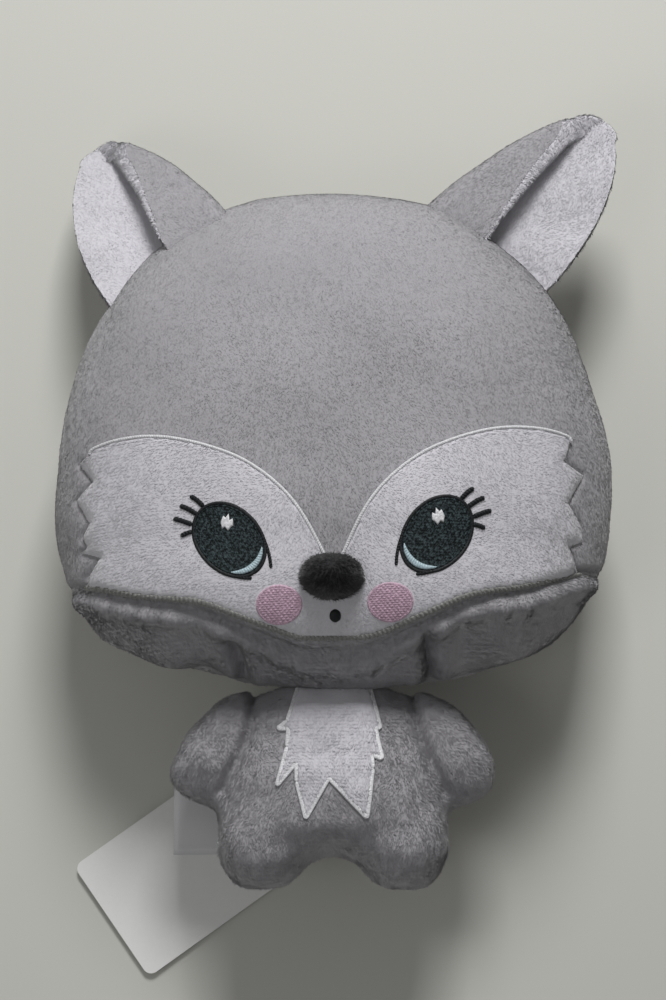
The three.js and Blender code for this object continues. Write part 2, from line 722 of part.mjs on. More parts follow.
// Body and limbs: each is trimmed where it meets the larger cushion that it bends on
function makeLimb(name, cushion, trims) {
  const trim = (geometry) => {
    const cut = trims.reduce((solid, [larger, hinge]) => clearOf(solid, larger, hinge), toSolid(geometry));
    return toGeometry(mainBody(cut));
  };
  add(`${name}_front_panel`, trim(cushion.panel(1)), greyPlush);
  add(`${name}_back_panel`, trim(cushion.panel(-1)), greyPlush);
  add(`${name}_stuffing`, trim(cushion.stuffing()), fibreFill);
}

function makeBody() {
  const underJaw = [head.body(HINGE_GAP), neck];
  makeLimb('torso', torso, [underJaw]);
  Object.entries(SIDES).forEach(([name, side]) => {
    const belly = torso.body(HINGE_GAP);
    makeLimb(`arm_${name}`, armCushion(side), [[belly, shoulder(side)], underJaw]);
    makeLimb(`leg_${name}`, legCushion(side), [[belly, hip(side)]]);
  });
}

// The bib: white applique with a torn outline, edged with a satin-stitch cord.
// The outline runs from its top left corner, as shares of its half width and of its length.
const BIB_LINE = [
  [-0.66, 0], [-0.86, 0.25], [-1, 0.31], [-0.87, 0.45], [-1, 0.75], [-0.68, 0.6], [-0.5, 1],
  [-0.08, 0.7], [0.62, 1], [0.74, 0.58], [0.95, 0.55], [0.8, 0.32], [0.7, 0],
];

function bibOutline(distance) {
  const top = -HEAD_JAW - BIB_TOP_DROP;
  const line = BIB_LINE.map(([out, down]) => point2(BIB_HALF * out, top - BIB_LENGTH * down));
  return offset(line, distance);
}

function makeBib() {
  const wall = (outline) => prism(outline, HEAD_SEAM_Z, BLOCK_TOP);
  const ground = (lift, thickness) => clearOf(torso.layer(lift, thickness), head.body(HINGE_GAP), neck);
  const patch = ground(GAP, PLUSH).intersect(wall(bibOutline(-SATIN_WIDTH * HALF - GAP)));
  const edge = wall(bibOutline(SATIN_WIDTH * HALF)).subtract(wall(bibOutline(-SATIN_WIDTH * HALF)));
  add('bib', toGeometry(mainBody(patch)), whitePlush);
  add('bib_stitch', toGeometry(mainBody(ground(GAP, SATIN_HEIGHT).intersect(edge))), whiteThread);
}

// The care label is sewn to the middle of the back panel and slopes outwards under the body
const labelY = torso.y + LABEL_RISE;
const labelRootX = -LABEL_EDGE + LABEL_REACH;
const labelRootZ = HEAD_SEAM_Z - GAP / 2 - TORSO_BACK - GAP - LABEL_THICKNESS * HALF;

const LABEL_STEPS = 8;
const labelDrop = (reach) => LABEL_FALL * (reach / LABEL_REACH) ** 1.4;

function makeLabel() {
  const profile = Array.from({ length: LABEL_STEPS + 1 }, (_, i) => {
    const reach = (LABEL_REACH * i) / LABEL_STEPS;
    return point2(-reach, -labelDrop(reach));
  });
  const outline = band(profile, LABEL_THICKNESS);
  const sheet = new THREE.ExtrudeGeometry(
    new THREE.Shape(outline), { depth: LABEL_LENGTH, bevelEnabled: false },
  )
    .rotateX(Math.PI / 2)
    .translate(labelRootX, labelY + LABEL_LENGTH * HALF, labelRootZ);
  add('care_label', toGeometry(toSolid(sheet)), satin);
}

// The card lies under the label on its fastener: a paddle under the card and a thin stem up to the label
const TAG_UNDERSIDE = PADDLE_THICKNESS + 2 * GAP;
const stemTop = new THREE.Vector3(-LABEL_EDGE + STEM_INSET, labelY - LABEL_LENGTH * STEM_PLACE, 0);
stemTop.z = labelRootZ - labelDrop(LABEL_REACH - STEM_INSET) - LABEL_THICKNESS - FILAMENT - GAP * HALF;
const tagPivot = new THREE.Vector3(stemTop.x + STEM_FOOT_SHIFT, stemTop.y, TAG_UNDERSIDE);

function makeTag() {
  const half = TAG_WIDTH * HALF;
  const shape = new THREE.Shape();
  const low = TAG_HOLE_EDGE - TAG_LENGTH;
  shape.moveTo(-half + TAG_CORNER, low);
  shape.absarc(half - TAG_CORNER, low + TAG_CORNER, TAG_CORNER, -Math.PI / 2, 0);
  shape.absarc(half - TAG_CORNER, TAG_HOLE_EDGE - TAG_CORNER, TAG_CORNER, 0, Math.PI / 2);
  shape.absarc(-half + TAG_CORNER, TAG_HOLE_EDGE - TAG_CORNER, TAG_CORNER, Math.PI / 2, Math.PI);
  shape.absarc(-half + TAG_CORNER, low + TAG_CORNER, TAG_CORNER, Math.PI, 1.5 * Math.PI);
  shape.holes.push(new THREE.Path().absarc(0, 0, TAG_HOLE, 0, 2 * Math.PI, true));
  const sheet = new THREE.ExtrudeGeometry(
    shape, { depth: TAG_THICKNESS, bevelEnabled: false, curveSegments: 4 },
  )
    .rotateZ(radians(TAG_BEARING) + Math.PI / 2)
    .translate(tagPivot.x, tagPivot.y, tagPivot.z);
  add('swing_tag', toGeometry(toSolid(sheet)), card);
  const paddle = new THREE.BoxGeometry(PADDLE_LENGTH, PADDLE_WIDTH, PADDLE_THICKNESS)
    .translate(tagPivot.x, tagPivot.y, tagPivot.z - GAP - PADDLE_THICKNESS * HALF);
  const foot = tagPivot.clone().setZ(tagPivot.z - GAP - PADDLE_THICKNESS * HALF);
  const rise = tagPivot.clone().setZ(tagPivot.z + TAG_THICKNESS * 2);
  const round = new THREE.Shape(ellipse(0, 0, FILAMENT, FILAMENT, 0, 8));
  const path = new THREE.CatmullRomCurve3([foot, rise, rise.clone().lerp(stemTop, HALF), stemTop]);
  const thread = new THREE.ExtrudeGeometry(round, { extrudePath: path, steps: 10, bevelEnabled: false });
  const bar = new THREE.BoxGeometry(PADDLE_LENGTH, FILAMENT * 2, FILAMENT * 2)
    .translate(stemTop.x, stemTop.y, stemTop.z);
  add('tag_fastener', toGeometry(toSolid(paddle).add(toSolid(thread)).add(toSolid(bar))), nylon);
}

makeHead();
makeFace();
Object.entries(EARS).forEach(([name, ear]) => makeEar(name, ear));
makeBody();
makeBib();
makeLabel();
makeTag();

export default wolf;
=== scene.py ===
"""Sews the plush wolf round its packed frame: stuffed covers, pile, ears, face, bib, label and card."""

import json
import math
from typing import NamedTuple

import bmesh
import bpy
import numpy as np
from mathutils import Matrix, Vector, geometry
from mathutils.bvhtree import BVHTree


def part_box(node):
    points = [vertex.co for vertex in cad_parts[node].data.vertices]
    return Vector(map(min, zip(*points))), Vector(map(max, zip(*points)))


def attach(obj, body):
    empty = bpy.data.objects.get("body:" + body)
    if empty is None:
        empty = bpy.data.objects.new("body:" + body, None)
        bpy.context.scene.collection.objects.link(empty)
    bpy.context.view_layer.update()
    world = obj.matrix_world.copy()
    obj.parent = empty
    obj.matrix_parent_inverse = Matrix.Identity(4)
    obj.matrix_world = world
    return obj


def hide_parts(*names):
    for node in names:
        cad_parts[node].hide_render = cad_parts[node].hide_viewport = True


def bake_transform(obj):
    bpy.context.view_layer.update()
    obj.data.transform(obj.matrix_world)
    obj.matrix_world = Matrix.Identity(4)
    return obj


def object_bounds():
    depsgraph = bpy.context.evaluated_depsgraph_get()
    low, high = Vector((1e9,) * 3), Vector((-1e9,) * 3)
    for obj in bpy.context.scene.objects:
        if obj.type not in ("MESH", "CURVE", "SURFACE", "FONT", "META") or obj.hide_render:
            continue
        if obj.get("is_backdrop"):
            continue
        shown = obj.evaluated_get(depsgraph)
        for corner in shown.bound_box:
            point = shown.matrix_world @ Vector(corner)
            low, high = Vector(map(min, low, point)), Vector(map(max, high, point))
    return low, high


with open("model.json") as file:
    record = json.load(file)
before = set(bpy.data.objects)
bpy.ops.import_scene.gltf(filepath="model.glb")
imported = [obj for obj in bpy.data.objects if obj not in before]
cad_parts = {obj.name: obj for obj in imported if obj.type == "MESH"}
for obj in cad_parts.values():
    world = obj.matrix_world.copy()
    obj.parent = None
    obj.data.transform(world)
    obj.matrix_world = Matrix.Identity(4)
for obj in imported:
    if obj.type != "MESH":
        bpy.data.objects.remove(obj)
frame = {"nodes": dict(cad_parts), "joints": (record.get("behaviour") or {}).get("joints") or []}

bl_info = {
    "name": "Plush wolf",
    "version": (1, 0, 0),
    "blender": (4, 5, 0),
    "location": "View3D > Sidebar > Wolf",
    "description": "Sews a plush wolf round its frame: covers, pile, ears, embroidery, bib, label and card",
    "category": "Object",
}

CAD_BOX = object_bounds()
MM = 0.001
SIDES = {"left": -1, "right": 1}
UP = np.array([0.0, 0.0, 1.0])
TO_FEET = np.array([0.0, -1.0, 0.0])


def node_box(node):
    """Lowest and highest corner of a node, in millimetres"""
    low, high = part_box(node)
    return np.array(low) / MM, np.array(high) / MM


def middle_of(node):
    """Middle of a node seen from above, in millimetres"""
    low, high = node_box(node)
    return (low[:2] + high[:2]) / 2


def pair_of(name, layer=None):
    """Offset and drop of a pair of nodes from the middle of the face"""
    ends = [middle_of("_".join(filter(None, (name, side, layer)))) for side in SIDES]
    return (ends[1][0] - ends[0][0]) / 2, -(ends[0][1] + ends[1][1]) / 2


def joint_named(name):
    return next(joint for joint in frame["joints"] if joint["name"] == name)


def pivot_of(name):
    """Place of a joint in millimetres"""
    return np.array(joint_named(name)["pos_m"]) / MM


# Main sizes in millimetres, from the frame where it has them
BACK_LOW, BACK_HIGH = node_box("head_back_panel")
FRONT_LOW, FRONT_HIGH = node_box("head_front_panel")
SEAM_GAP = FRONT_LOW[2] - BACK_HIGH[2]
SEAM_Z = BACK_HIGH[2] + SEAM_GAP / 2
HEAD_JAW = -BACK_LOW[1]
LAYER = 2.0                 # one layer of plush
CHIN_DEPTH, CHIN_RISE = 13.2, 29.0
FACE_HALF_WIDTH = 91.0
FACE_TILT = math.radians(1.5)
BROW_RISE, BROW_DROP = 16.0, 33.0
EYE_OFFSET, EYE_DROP = pair_of("eye", "iris")
EYE_HALF_WIDTH, EYE_HALF_HEIGHT = 11.8, 16.0
EYE_LEAN = math.radians(40)
FACE_PIVOT = np.array([0.0, -EYE_DROP])
CHEEK_OFFSET, CHEEK_DROP = pair_of("cheek")
CHEEK_HALF_WIDTH, CHEEK_HALF_HEIGHT = 8.4, 6.6
CHEEK_LOWER = 2.0           # the cheeks under the frame's, on the fuller muzzle
MOUTH_DROP, MOUTH_RADIUS = -middle_of("mouth_dot")[1], 2.2
ARM_TURN = 41               # degrees that an arm leans out from the body
HIP_DROP = 5.0              # the leg's seam under its joint
LIMB_BEND, NECK_BEND, EAR_BEND = 12.0, 16.0, 14.0    # lengths given for the cloth's bend at each joint, which have no effect
HEAD_FILL, BODY_FILL = 0.8, 0.7


# Settings

def srgb(red, green, blue):
    """A colour as it is seen on a screen, 0 to 255, as the linear values that a shader takes"""
    shares = (red / 255, green / 255, blue / 255)
    return tuple(s / 12.92 if s <= 0.04045 else ((s + 0.055) / 1.055) ** 2.4 for s in shares)


def dye(name, description, *seen):
    return bpy.props.FloatVectorProperty(
        name=name, description=description, default=srgb(*seen), subtype="COLOR", size=3, min=0, max=1
    )


def number(name, description, default, **kind):
    return bpy.props.FloatProperty(name=name, description=description, default=default, **kind)


def length(name, description, millimetres):
    return number(name, description, millimetres * MM, min=0.1 * MM, subtype="DISTANCE", unit="LENGTH")


class WolfColours(bpy.types.PropertyGroup):
    """Colours of cloth, thread and card"""

    grey: dye("Grey plush", "Head, ears, body and limbs", 167, 165, 169)
    white: dye("White plush", "Face, bib and ear linings", 214, 212, 218)
    black: dye("Black plush", "Nose", 26, 26, 28)
    charcoal: dye("Charcoal thread", "Fill of the eyes", 20, 25, 26)
    ink: dye("Black thread", "Outline of the eyes, lashes and mouth", 24, 27, 29)
    ice: dye("Ice blue thread", "Crescent in each eye", 176, 198, 206)
    pink: dye("Pink thread", "Cheeks", 194, 163, 181)
    pearl: dye("White thread", "Cords and glints", 228, 228, 231)
    moss: dye("Grey thread", "Stitches along the jaw", 130, 131, 127)
    fill: dye("Fibre fill", "Stuffing", 240, 239, 234)
    satin: dye("Satin", "Care label", 226, 226, 228)
    card: dye("Card", "Swing tag", 240, 240, 238)
    nylon: dye("Nylon", "Tag fastener", 226, 230, 230)
    floor: dye("Floor", "Plain ground under the toy", 206, 206, 199)


class WolfPile(bpy.types.PropertyGroup):
    """The pile of the plush"""

    density: number("Density", "Tufts on a square millimetre of cloth", 1.9, min=0.05, max=6)
    width: length("Tuft width", "Width of a tuft at its root", 0.44)
    length: length("Pile length", "Length of a tuft on the body", 1.5)
    short: length("Brushed length", "Length of a tuft on the brushed forehead", 1.05)


class WolfStuffing(bpy.types.PropertyGroup):
    """How the covers are filled"""

    pressure: number("Pressure", "How hard the fill presses on the covers", 4.0, min=0, max=20)
    cap: length("Swell", "The most that a point of a cover moves", 4)
    mesh: length("Mesh size", "Side of a face while a cover is filled", 4.5)


class WolfStage(bpy.types.PropertyGroup):
    """Camera and light"""

    distance: length("Distance", "Camera to the middle of the toy", 900)
    elevation: number("Elevation", "Height of the camera's view", math.radians(76), subtype="ANGLE",
                      unit="ROTATION")
    lens: number("Lens", "Focal length in millimetres", 84.2)
    key: number("Key light", "Power of the lamp beyond the crown", 14.0, unit="POWER")
    fill: number("Fill light", "Power of the weak lamp beyond the feet", 1.1, unit="POWER")
    sky: number("Sky", "Strength of the light from all round", 0.17)


# Shaders

class Socket:
    """A shader socket that takes part in plain arithmetic"""

    def __init__(self, shades, link):
        self.shades = shades
        self.link = link

    def maths(self, operation, *values):
        return self.shades.node("ShaderNodeMath", {"operation": operation}, dict(enumerate(values)))

    def __add__(self, other):
        return self.maths("ADD", self, other)

    def __rsub__(self, other):
        return self.maths("SUBTRACT", other, self)

    def __mul__(self, other):
        return self.maths("MULTIPLY", self, other)

    __radd__, __rmul__ = __add__, __mul__


class Shades:
    """The nodes of one material"""

    def __init__(self, name):
        self.material = bpy.data.materials.new(name)
        self.material.use_nodes = True
        self.tree = self.material.node_tree
        self.tree.nodes.clear()

    def node(self, kind, settings=None, sockets=None, out=0):
        """Adds a node: its settings first, then the values or links of its sockets"""
        node = self.tree.nodes.new(kind)
        for key, value in (settings or {}).items():
            setattr(node, key, value)
        for key, value in (sockets or {}).items():
            if isinstance(value, Socket):
                self.tree.links.new(value.link, node.inputs[key])
            else:
                node.inputs[key].default_value = value
        return Socket(self, node.outputs[out])

    def place(self):
        return self.node("ShaderNodeTexCoord", out="Object")

    def noise(self, scale, detail=3.0, rough=0.55):
        sockets = {"Vector": self.place(), "Scale": scale, "Detail": detail, "Roughness": rough}
        return self.node("ShaderNodeTexNoise", None, sockets)

    def ramp(self, pattern, low, high):
        """Steepens a pattern: none of it up to low, all of it from high on"""
        steep = self.node("ShaderNodeValToRGB", None, {"Fac": pattern})
        for stop, place in zip(steep.link.node.color_ramp.elements, (low, high)):
            stop.position = place
        return steep

    def blend(self, factor, first, second):
        """Mixes two colours"""
        sockets = {0: factor, 6: (*first, 1), 7: (*second, 1)}
        return self.node("ShaderNodeMix", {"data_type": "RGBA"}, sockets, out=2)

    def bump(self, height, depth):
        """A relief of a depth in millimetres"""
        sockets = {"Height": height, "Distance": depth * MM, "Strength": 1.0}
        return self.node("ShaderNodeBump", None, sockets)

    def finish(self, sockets):
        """Ends in one principled surface"""
        surface = self.node("ShaderNodeBsdfPrincipled", None, sockets)
        end = self.tree.nodes.new("ShaderNodeOutputMaterial")
        self.tree.links.new(surface.link, end.inputs["Surface"])
        return self.material


def toned(colour, factor):
    return tuple(min(1.0, channel * factor) for channel in colour)


def plush(name, colour):
    """The woven ground between the tufts, with a fine grain and patches of painted shade and light where the
    nap was brushed the other way
    """
    shades = Shades(name)
    # Painted shade: these patches make the ground lighter or darker, as nap brushed the other way looks under
    # the lamp
    painted_nap_shade = shades.ramp(shades.noise(22, 3), 0.38, 0.62)
    grain = shades.noise(900, 2, 0.7)
    return shades.finish({
        "Base Color": shades.blend(grain * 0.5 + painted_nap_shade * 0.5, toned(colour, 0.9), toned(colour, 1.05)),
        "Roughness": 0.95 - 0.1 * grain,
        "Sheen Weight": 0.35,
        "Sheen Roughness": 0.5,
        "Normal": shades.bump(grain, 0.05),
    })


def tuft(name, colour):
    """One tone of the pile itself"""
    return Shades(name).finish({
        "Base Color": (*colour, 1),
        "Roughness": 0.85,
        "Sheen Weight": 0.3,
        "Sheen Roughness": 0.45,
        "Specular IOR Level": 0.25,
    })


def thread(name, colour, painted_gleam, roughness=0.42, sheen=0.25, gloss=0.5):
    """Rayon embroidery thread, with a painted highlight: lighter along each strand and in flecks where the
    thread turns, for the shine of the rayon
    """
    shades = Shades(name)
    strands_and_gleam = shades.ramp(shades.noise(1100, 2, 0.6), 0.42, 0.68)
    return shades.finish({
        # Painted highlight: the lighter stitches and flecks stand in for the thread's shine; the same pattern
        # sets the roughness and the bump
        "Base Color": shades.blend(strands_and_gleam, toned(colour, 0.86), toned(colour, painted_gleam)),
        "Roughness": roughness + 0.15 * strands_and_gleam,
        "Specular IOR Level": gloss,
        "Sheen Weight": sheen,
        "Sheen Roughness": 0.35,
        "Normal": shades.bump(strands_and_gleam, 0.08),
    })


def woven_satin(name, colour):
    """Label tape: a fine weave across the tape"""
    shades = Shades(name)
    settings = {"wave_type": "BANDS", "bands_direction": "X"}
    sockets = {"Vector": shades.place(), "Scale": 900.0, "Distortion": 0.6}
    weave = shades.node("ShaderNodeTexWave", settings, sockets)
    return shades.finish({
        "Base Color": shades.blend(weave, toned(colour, 0.9), colour),
        "Roughness": 0.38 + 0.12 * weave,
        "Sheen Weight": 0.3,
        "Normal": shades.bump(weave, 0.04),
    })


def mottled(name, colour, noise, dark, roughness, depth=0.0, constants=()):
    """A plain surface with a faint pattern: its darkest tone, least roughness and depth in millimetres"""
    shades = Shades(name)
    pattern = shades.noise(*noise)
    sockets = {"Base Color": shades.blend(pattern, toned(colour, dark), colour), **dict(constants)}
    if "Roughness" not in sockets:
        sockets["Roughness"] = roughness + 0.1 * pattern
    if depth:
        sockets["Normal"] = shades.bump(pattern, depth)
    return shades.finish(sockets)


# Each slot's maker and colour, and what else the maker takes
FINISHES = {
    "grey_plush": (plush, "grey"),
    "white_plush": (plush, "white"),
    "black_plush": (plush, "black"),
    "fibre_fill": (mottled, "fill", (260, 5, 0.7), 0.82, None, 1.2, {"Sheen Weight": 0.3, "Roughness": 0.97}),
    "white_thread": (thread, "pearl", 1.1, 0.3),
    "grey_thread": (thread, "moss", 1.3),
    # The charcoal's flecks, nine times its colour, are painted highlight for the thread's shine; its own
    # gloss is turned down
    "charcoal_thread": (thread, "charcoal", 9, 0.6, 0, 0.1),
    "black_thread": (thread, "ink", 1.6, 0.5, 0.05, 0.3),
    "ice_thread": (thread, "ice", 1.15, 0.3),
    "pink_thread": (thread, "pink", 1.35),
    "label_satin": (woven_satin, "satin"),
    "tag_card": (mottled, "card", (420, 4, 0.6), 0.95, 0.62, 0.05),
    "fastener_nylon": (mottled, "nylon", (300, 2), 0.93, 0.28, 0.0, {"IOR": 1.53}),
    "floor": (mottled, "floor", (6, 3), 0.97, 0.85),
}
TONES = {"grey": (0.93, 1.0, 1.05), "white": (0.96, 1.0, 1.03), "black": (0.7, 1.0, 1.9)}
TONE_SHARES = (0.3, 0.45, 0.25)


def finish_named(slot):
    """The wolf's own material for a slot, made once; the frame's materials have the slots' plain names"""
    name = f"wolf_{slot}"
    make, colour, *how = FINISHES[slot]
    return bpy.data.materials.get(name) or make(name, getattr(bpy.context.scene.wolf_colours, colour), *how)


def tuft_tones(slot):
    """Darker, middle and lighter tufts of one plush"""
    plain = slot.split("_")[0]
    colour = getattr(bpy.context.scene.wolf_colours, plain)
    made = bpy.data.materials
    names = [f"{slot}_tuft_{index}" for index in range(len(TONES[plain]))]
    return [made.get(name) or tuft(name, toned(colour, tone)) for name, tone in zip(names, TONES[plain])]


# Meshes

def linked(name, data):
    """A new object in the scene"""
    obj = bpy.data.objects.new(name, data)
    bpy.context.scene.collection.objects.link(obj)
    return obj


def dressed(mesh, materials, tags=None):
    """Gives a mesh smooth faces and its materials; tags are the faces' material numbers"""
    for material in materials:
        mesh.materials.append(material)
    if tags is not None:
        mesh.polygons.foreach_set("material_index", np.asarray(tags, dtype=np.int32))
    mesh.polygons.foreach_set("use_smooth", np.ones(len(mesh.polygons), dtype=bool))


def new_object(name, points, faces, materials, tags=None):
    """A smooth mesh from points in millimetres"""
    mesh = bpy.data.meshes.new(name)
    mesh.from_pydata((np.asarray(points) * MM).tolist(), [], [list(face) for face in faces])
    mesh.update()
    dressed(mesh, materials, tags)
    return linked(name, mesh)


def vectors_of(items, key):
    flat = np.empty(len(items) * 3)
    items.foreach_get(key, flat)
    return flat.reshape(-1, 3)


def points_of(obj):
    return vectors_of(obj.data.vertices, "co") / MM


def normals_of(obj):
    return vectors_of(obj.data.vertex_normals, "vector")


def put_points(obj, points):
    obj.data.vertices.foreach_set("co", (points * MM).astype(np.float32).ravel())
    obj.data.update()


def over_floor(points):
    return np.column_stack([points[:, :2], np.maximum(points[:, 2], 0)])


def settle(obj):
    """Turns what the modifiers show into the mesh itself"""
    graph = bpy.context.evaluated_depsgraph_get()
    mesh = bpy.data.meshes.new_from_object(obj.evaluated_get(graph), depsgraph=graph)
    old = obj.data
    obj.modifiers.clear()
    obj.data = mesh
    mesh.name = obj.name
    bpy.data.meshes.remove(old)


def change(obj, kind, **settings):
    """Applies one modifier"""
    modifier = obj.modifiers.new(kind, kind)
    for key, value in settings.items():
        setattr(modifier, key, value)
    settle(obj)


def remesh(obj, size):
    change(obj, "REMESH", mode="VOXEL", voxel_size=size, use_smooth_shade=True)


FILL_FRAMES = 20


def swell(obj, held):
    """Fills a cover: cloth under pressure from inside, with the held points fast"""
    stuffing = bpy.context.scene.wolf_stuffing
    before = points_of(obj)
    group = obj.vertex_groups.new(name="held")
    group.add(np.flatnonzero(held).tolist(), 1.0, "REPLACE")
    cloth = obj.modifiers.new("Cloth", "CLOTH")
    cloth.settings.quality = 5
    cloth.settings.mass = 0.3
    cloth.settings.use_pressure = True
    cloth.settings.uniform_pressure_force = stuffing.pressure
    cloth.settings.effector_weights.gravity = 0
    cloth.settings.vertex_group_mass = group.name
    cloth.point_cache.frame_start = 1
    cloth.point_cache.frame_end = FILL_FRAMES
    for step in range(1, FILL_FRAMES + 1):
        bpy.context.scene.frame_set(step)
    settle(obj)
    bpy.context.scene.frame_set(1)
    obj.vertex_groups.clear()
    move = points_of(obj) - before
    far = np.maximum(np.linalg.norm(move, axis=1, keepdims=True), 1e-9)
    put_points(obj, before + move * np.minimum(1, stuffing.cap / MM / far))


class Cushion:
    """Two domed panels that meet at an edge seam; the outline is a superellipse in two halves"""

    def __init__(self, centre, half_width, up, down, front, back, turn=0.0):
        self.centre = np.array(centre)
        self.half_width = half_width
        self.up, self.down = up, down
        self.front, self.back = front, back
        self.turn = math.radians(turn)

    def rim(self, angle, share, grow):
        across, along = np.cos(angle), np.sin(angle)
        reach = np.where(along >= 0, self.up[0], self.down[0]) + grow
        power = np.where(along >= 0, self.up[1], self.down[1])
        x = (self.half_width + grow) * share * np.sign(across) * np.abs(across) ** (2 / power)
        y = reach * share * np.sign(along) * np.abs(along) ** (2 / power)
        cos, sin = math.cos(self.turn), math.sin(self.turn)
        return np.stack([x * cos - y * sin, x * sin + y * cos], axis=-1) + self.centre

    def level(self, share, side, grow):
        depth, flat, roundness = self.front if side > 0 else self.back
        rise = max(1 - share ** flat, 0.0) ** roundness
        return SEAM_Z + side * (SEAM_GAP / 2 + (depth + grow) * rise)

    def shell(self, grow=0.0, sides=72, rings=20):
        """Points and faces of the whole closed cushion"""
        angles = np.linspace(0, 2 * math.pi, sides, endpoint=False)
        shares = np.sin(np.linspace(0, math.pi / 2, rings + 1))
        points, faces = [], []
        for side in (1, -1):
            start = len(points)
            for share in shares[1:]:
                flat = self.rim(angles, share, grow)
                points.extend((x, y, self.level(share, side, grow)) for x, y in flat)
            top = len(points)
            points.append((*self.centre, self.level(0, side, grow)))
            for ring in range(rings):
                for i in range(sides):
                    j = (i + 1) % sides
                    outer = start + ring * sides
                    if ring == 0:
                        face = (top, outer + i, outer + j)
                    else:
                        inner = outer - sides
                        face = (inner + i, outer + i, outer + j, inner + j)
                    faces.append(face if side > 0 else face[::-1])
        edge_front = (rings - 1) * sides
        edge_back = edge_front + rings * sides + 1
        for i in range(sides):
            j = (i + 1) % sides
            faces.append((edge_front + i, edge_back + i, edge_back + j, edge_front + j))
        return np.array(points), faces


HEAD = Cushion(
    (0, 0), BACK_HIGH[0], (BACK_HIGH[1], 2.25), (HEAD_JAW, 2.6),
    (FRONT_HIGH[2] - SEAM_Z - SEAM_GAP / 2, 2.8, 0.62), (BACK_HIGH[2] + 0.5, 4, 0.7),
)
TORSO = Cushion((0, -121), 42.75, (54, 2.3), (17, 2.5), (24, 2.4, 0.62), (22, 2.6, 0.62))
ARM_DOME, LEG_DOME = (14, 2.6, 0.62), (20, 2.8, 0.6)


def limb_cushions():
    """The body's cushions by the names of their nodes"""
    cushions = {"torso": TORSO}
    for name, side in SIDES.items():
        arm = ((side * 40.5, -94.5), 14.5, (25, 2.4), (25, 2.4), ARM_DOME, ARM_DOME, side * ARM_TURN)
        leg = ((side * 26, -130.5), 17, (15, 2.4), (17, 2.4), LEG_DOME, LEG_DOME)
        cushions |= {f"arm_{name}": Cushion(*arm), f"leg_{name}": Cushion(*leg)}
    return cushions


# Lines and fields

def run_along(line):
    """Distance of each point of a line from its start"""
    return np.concatenate([[0], np.cumsum(np.linalg.norm(np.diff(line, axis=0), axis=1))])


def even_steps(line, step):
    """The same line with points an even step apart"""
    along = run_along(line)
    places = np.linspace(0, along[-1], max(int(round(along[-1] / step)), 2) + 1)
    return np.stack([np.interp(places, along, line[:, axis]) for axis in range(line.shape[1])], axis=1)


def curve_through(points, step):
    """A smooth line through flat points, with points an even step apart"""
    points = np.asarray(points, dtype=float)
    padded = np.concatenate([2 * points[:1] - points[1:2], points, 2 * points[-1:] - points[-2:-1]])
    t = np.linspace(0, 1, 24, endpoint=False)[:, None]
    spans = []
    for a, b, c, d in zip(padded, padded[1:], padded[2:], padded[3:]):
        spans.append(0.5 * (2 * b + (c - a) * t + (2 * a - 5 * b + 4 * c - d) * t**2
                            + (3 * b - a - 3 * c + d) * t**3))
    return even_steps(np.concatenate([*spans, padded[-2:-1]]), step)


def distance_to(line, points):
    """Distance of flat points from a line"""
    best = np.full(len(points), np.inf)
    for a, b in zip(line[:-1], line[1:]):
        ab = b - a
        t = np.clip(((points - a) @ ab) / max(ab @ ab, 1e-12), 0, 1)
        best = np.minimum(best, np.linalg.norm(points - a - t[:, None] * ab, axis=1))
    return best


def inside(outline, points):
    """Whether points lie inside a closed outline, seen from above"""
    x, y = points[:, 0], points[:, 1]
    odd = np.zeros(len(points), dtype=bool)
    for (ax, ay), (bx, by) in zip(outline, np.roll(outline, -1, axis=0)):
        if ay != by:
            odd ^= ((ay > y) != (by > y)) & (x < (bx - ax) * (y - ay) / (by - ay) + ax)
    return odd


def waves(points, length, seed, count=20):
    """A smooth random field of about the given wave length, mostly between -1 and 1"""
    rng = np.random.default_rng(seed)
    turn = rng.normal(size=(count, points.shape[1]))
    turn *= (2 * math.pi / length) / np.linalg.norm(turn, axis=1, keepdims=True)
    turn *= rng.uniform(0.7, 1.4, (count, 1))
    return np.sin(points @ turn.T + rng.uniform(0, 2 * math.pi, count)).sum(axis=1) / math.sqrt(count)


def bell(distance, width):
    return np.exp(-((distance / width) ** 2))


def ridge(away, push, place, reach):
    """A rounded ridge or groove along a line, at a distance from it"""
    return push * bell(away - place, reach)


def mound(points, push, middle, reach):
    """A rounded rise or hollow over a place, with a reach across and along"""
    return push * bell(points[:, 0] - middle[0], reach[0]) * bell(points[:, 1] - middle[1], reach[1])


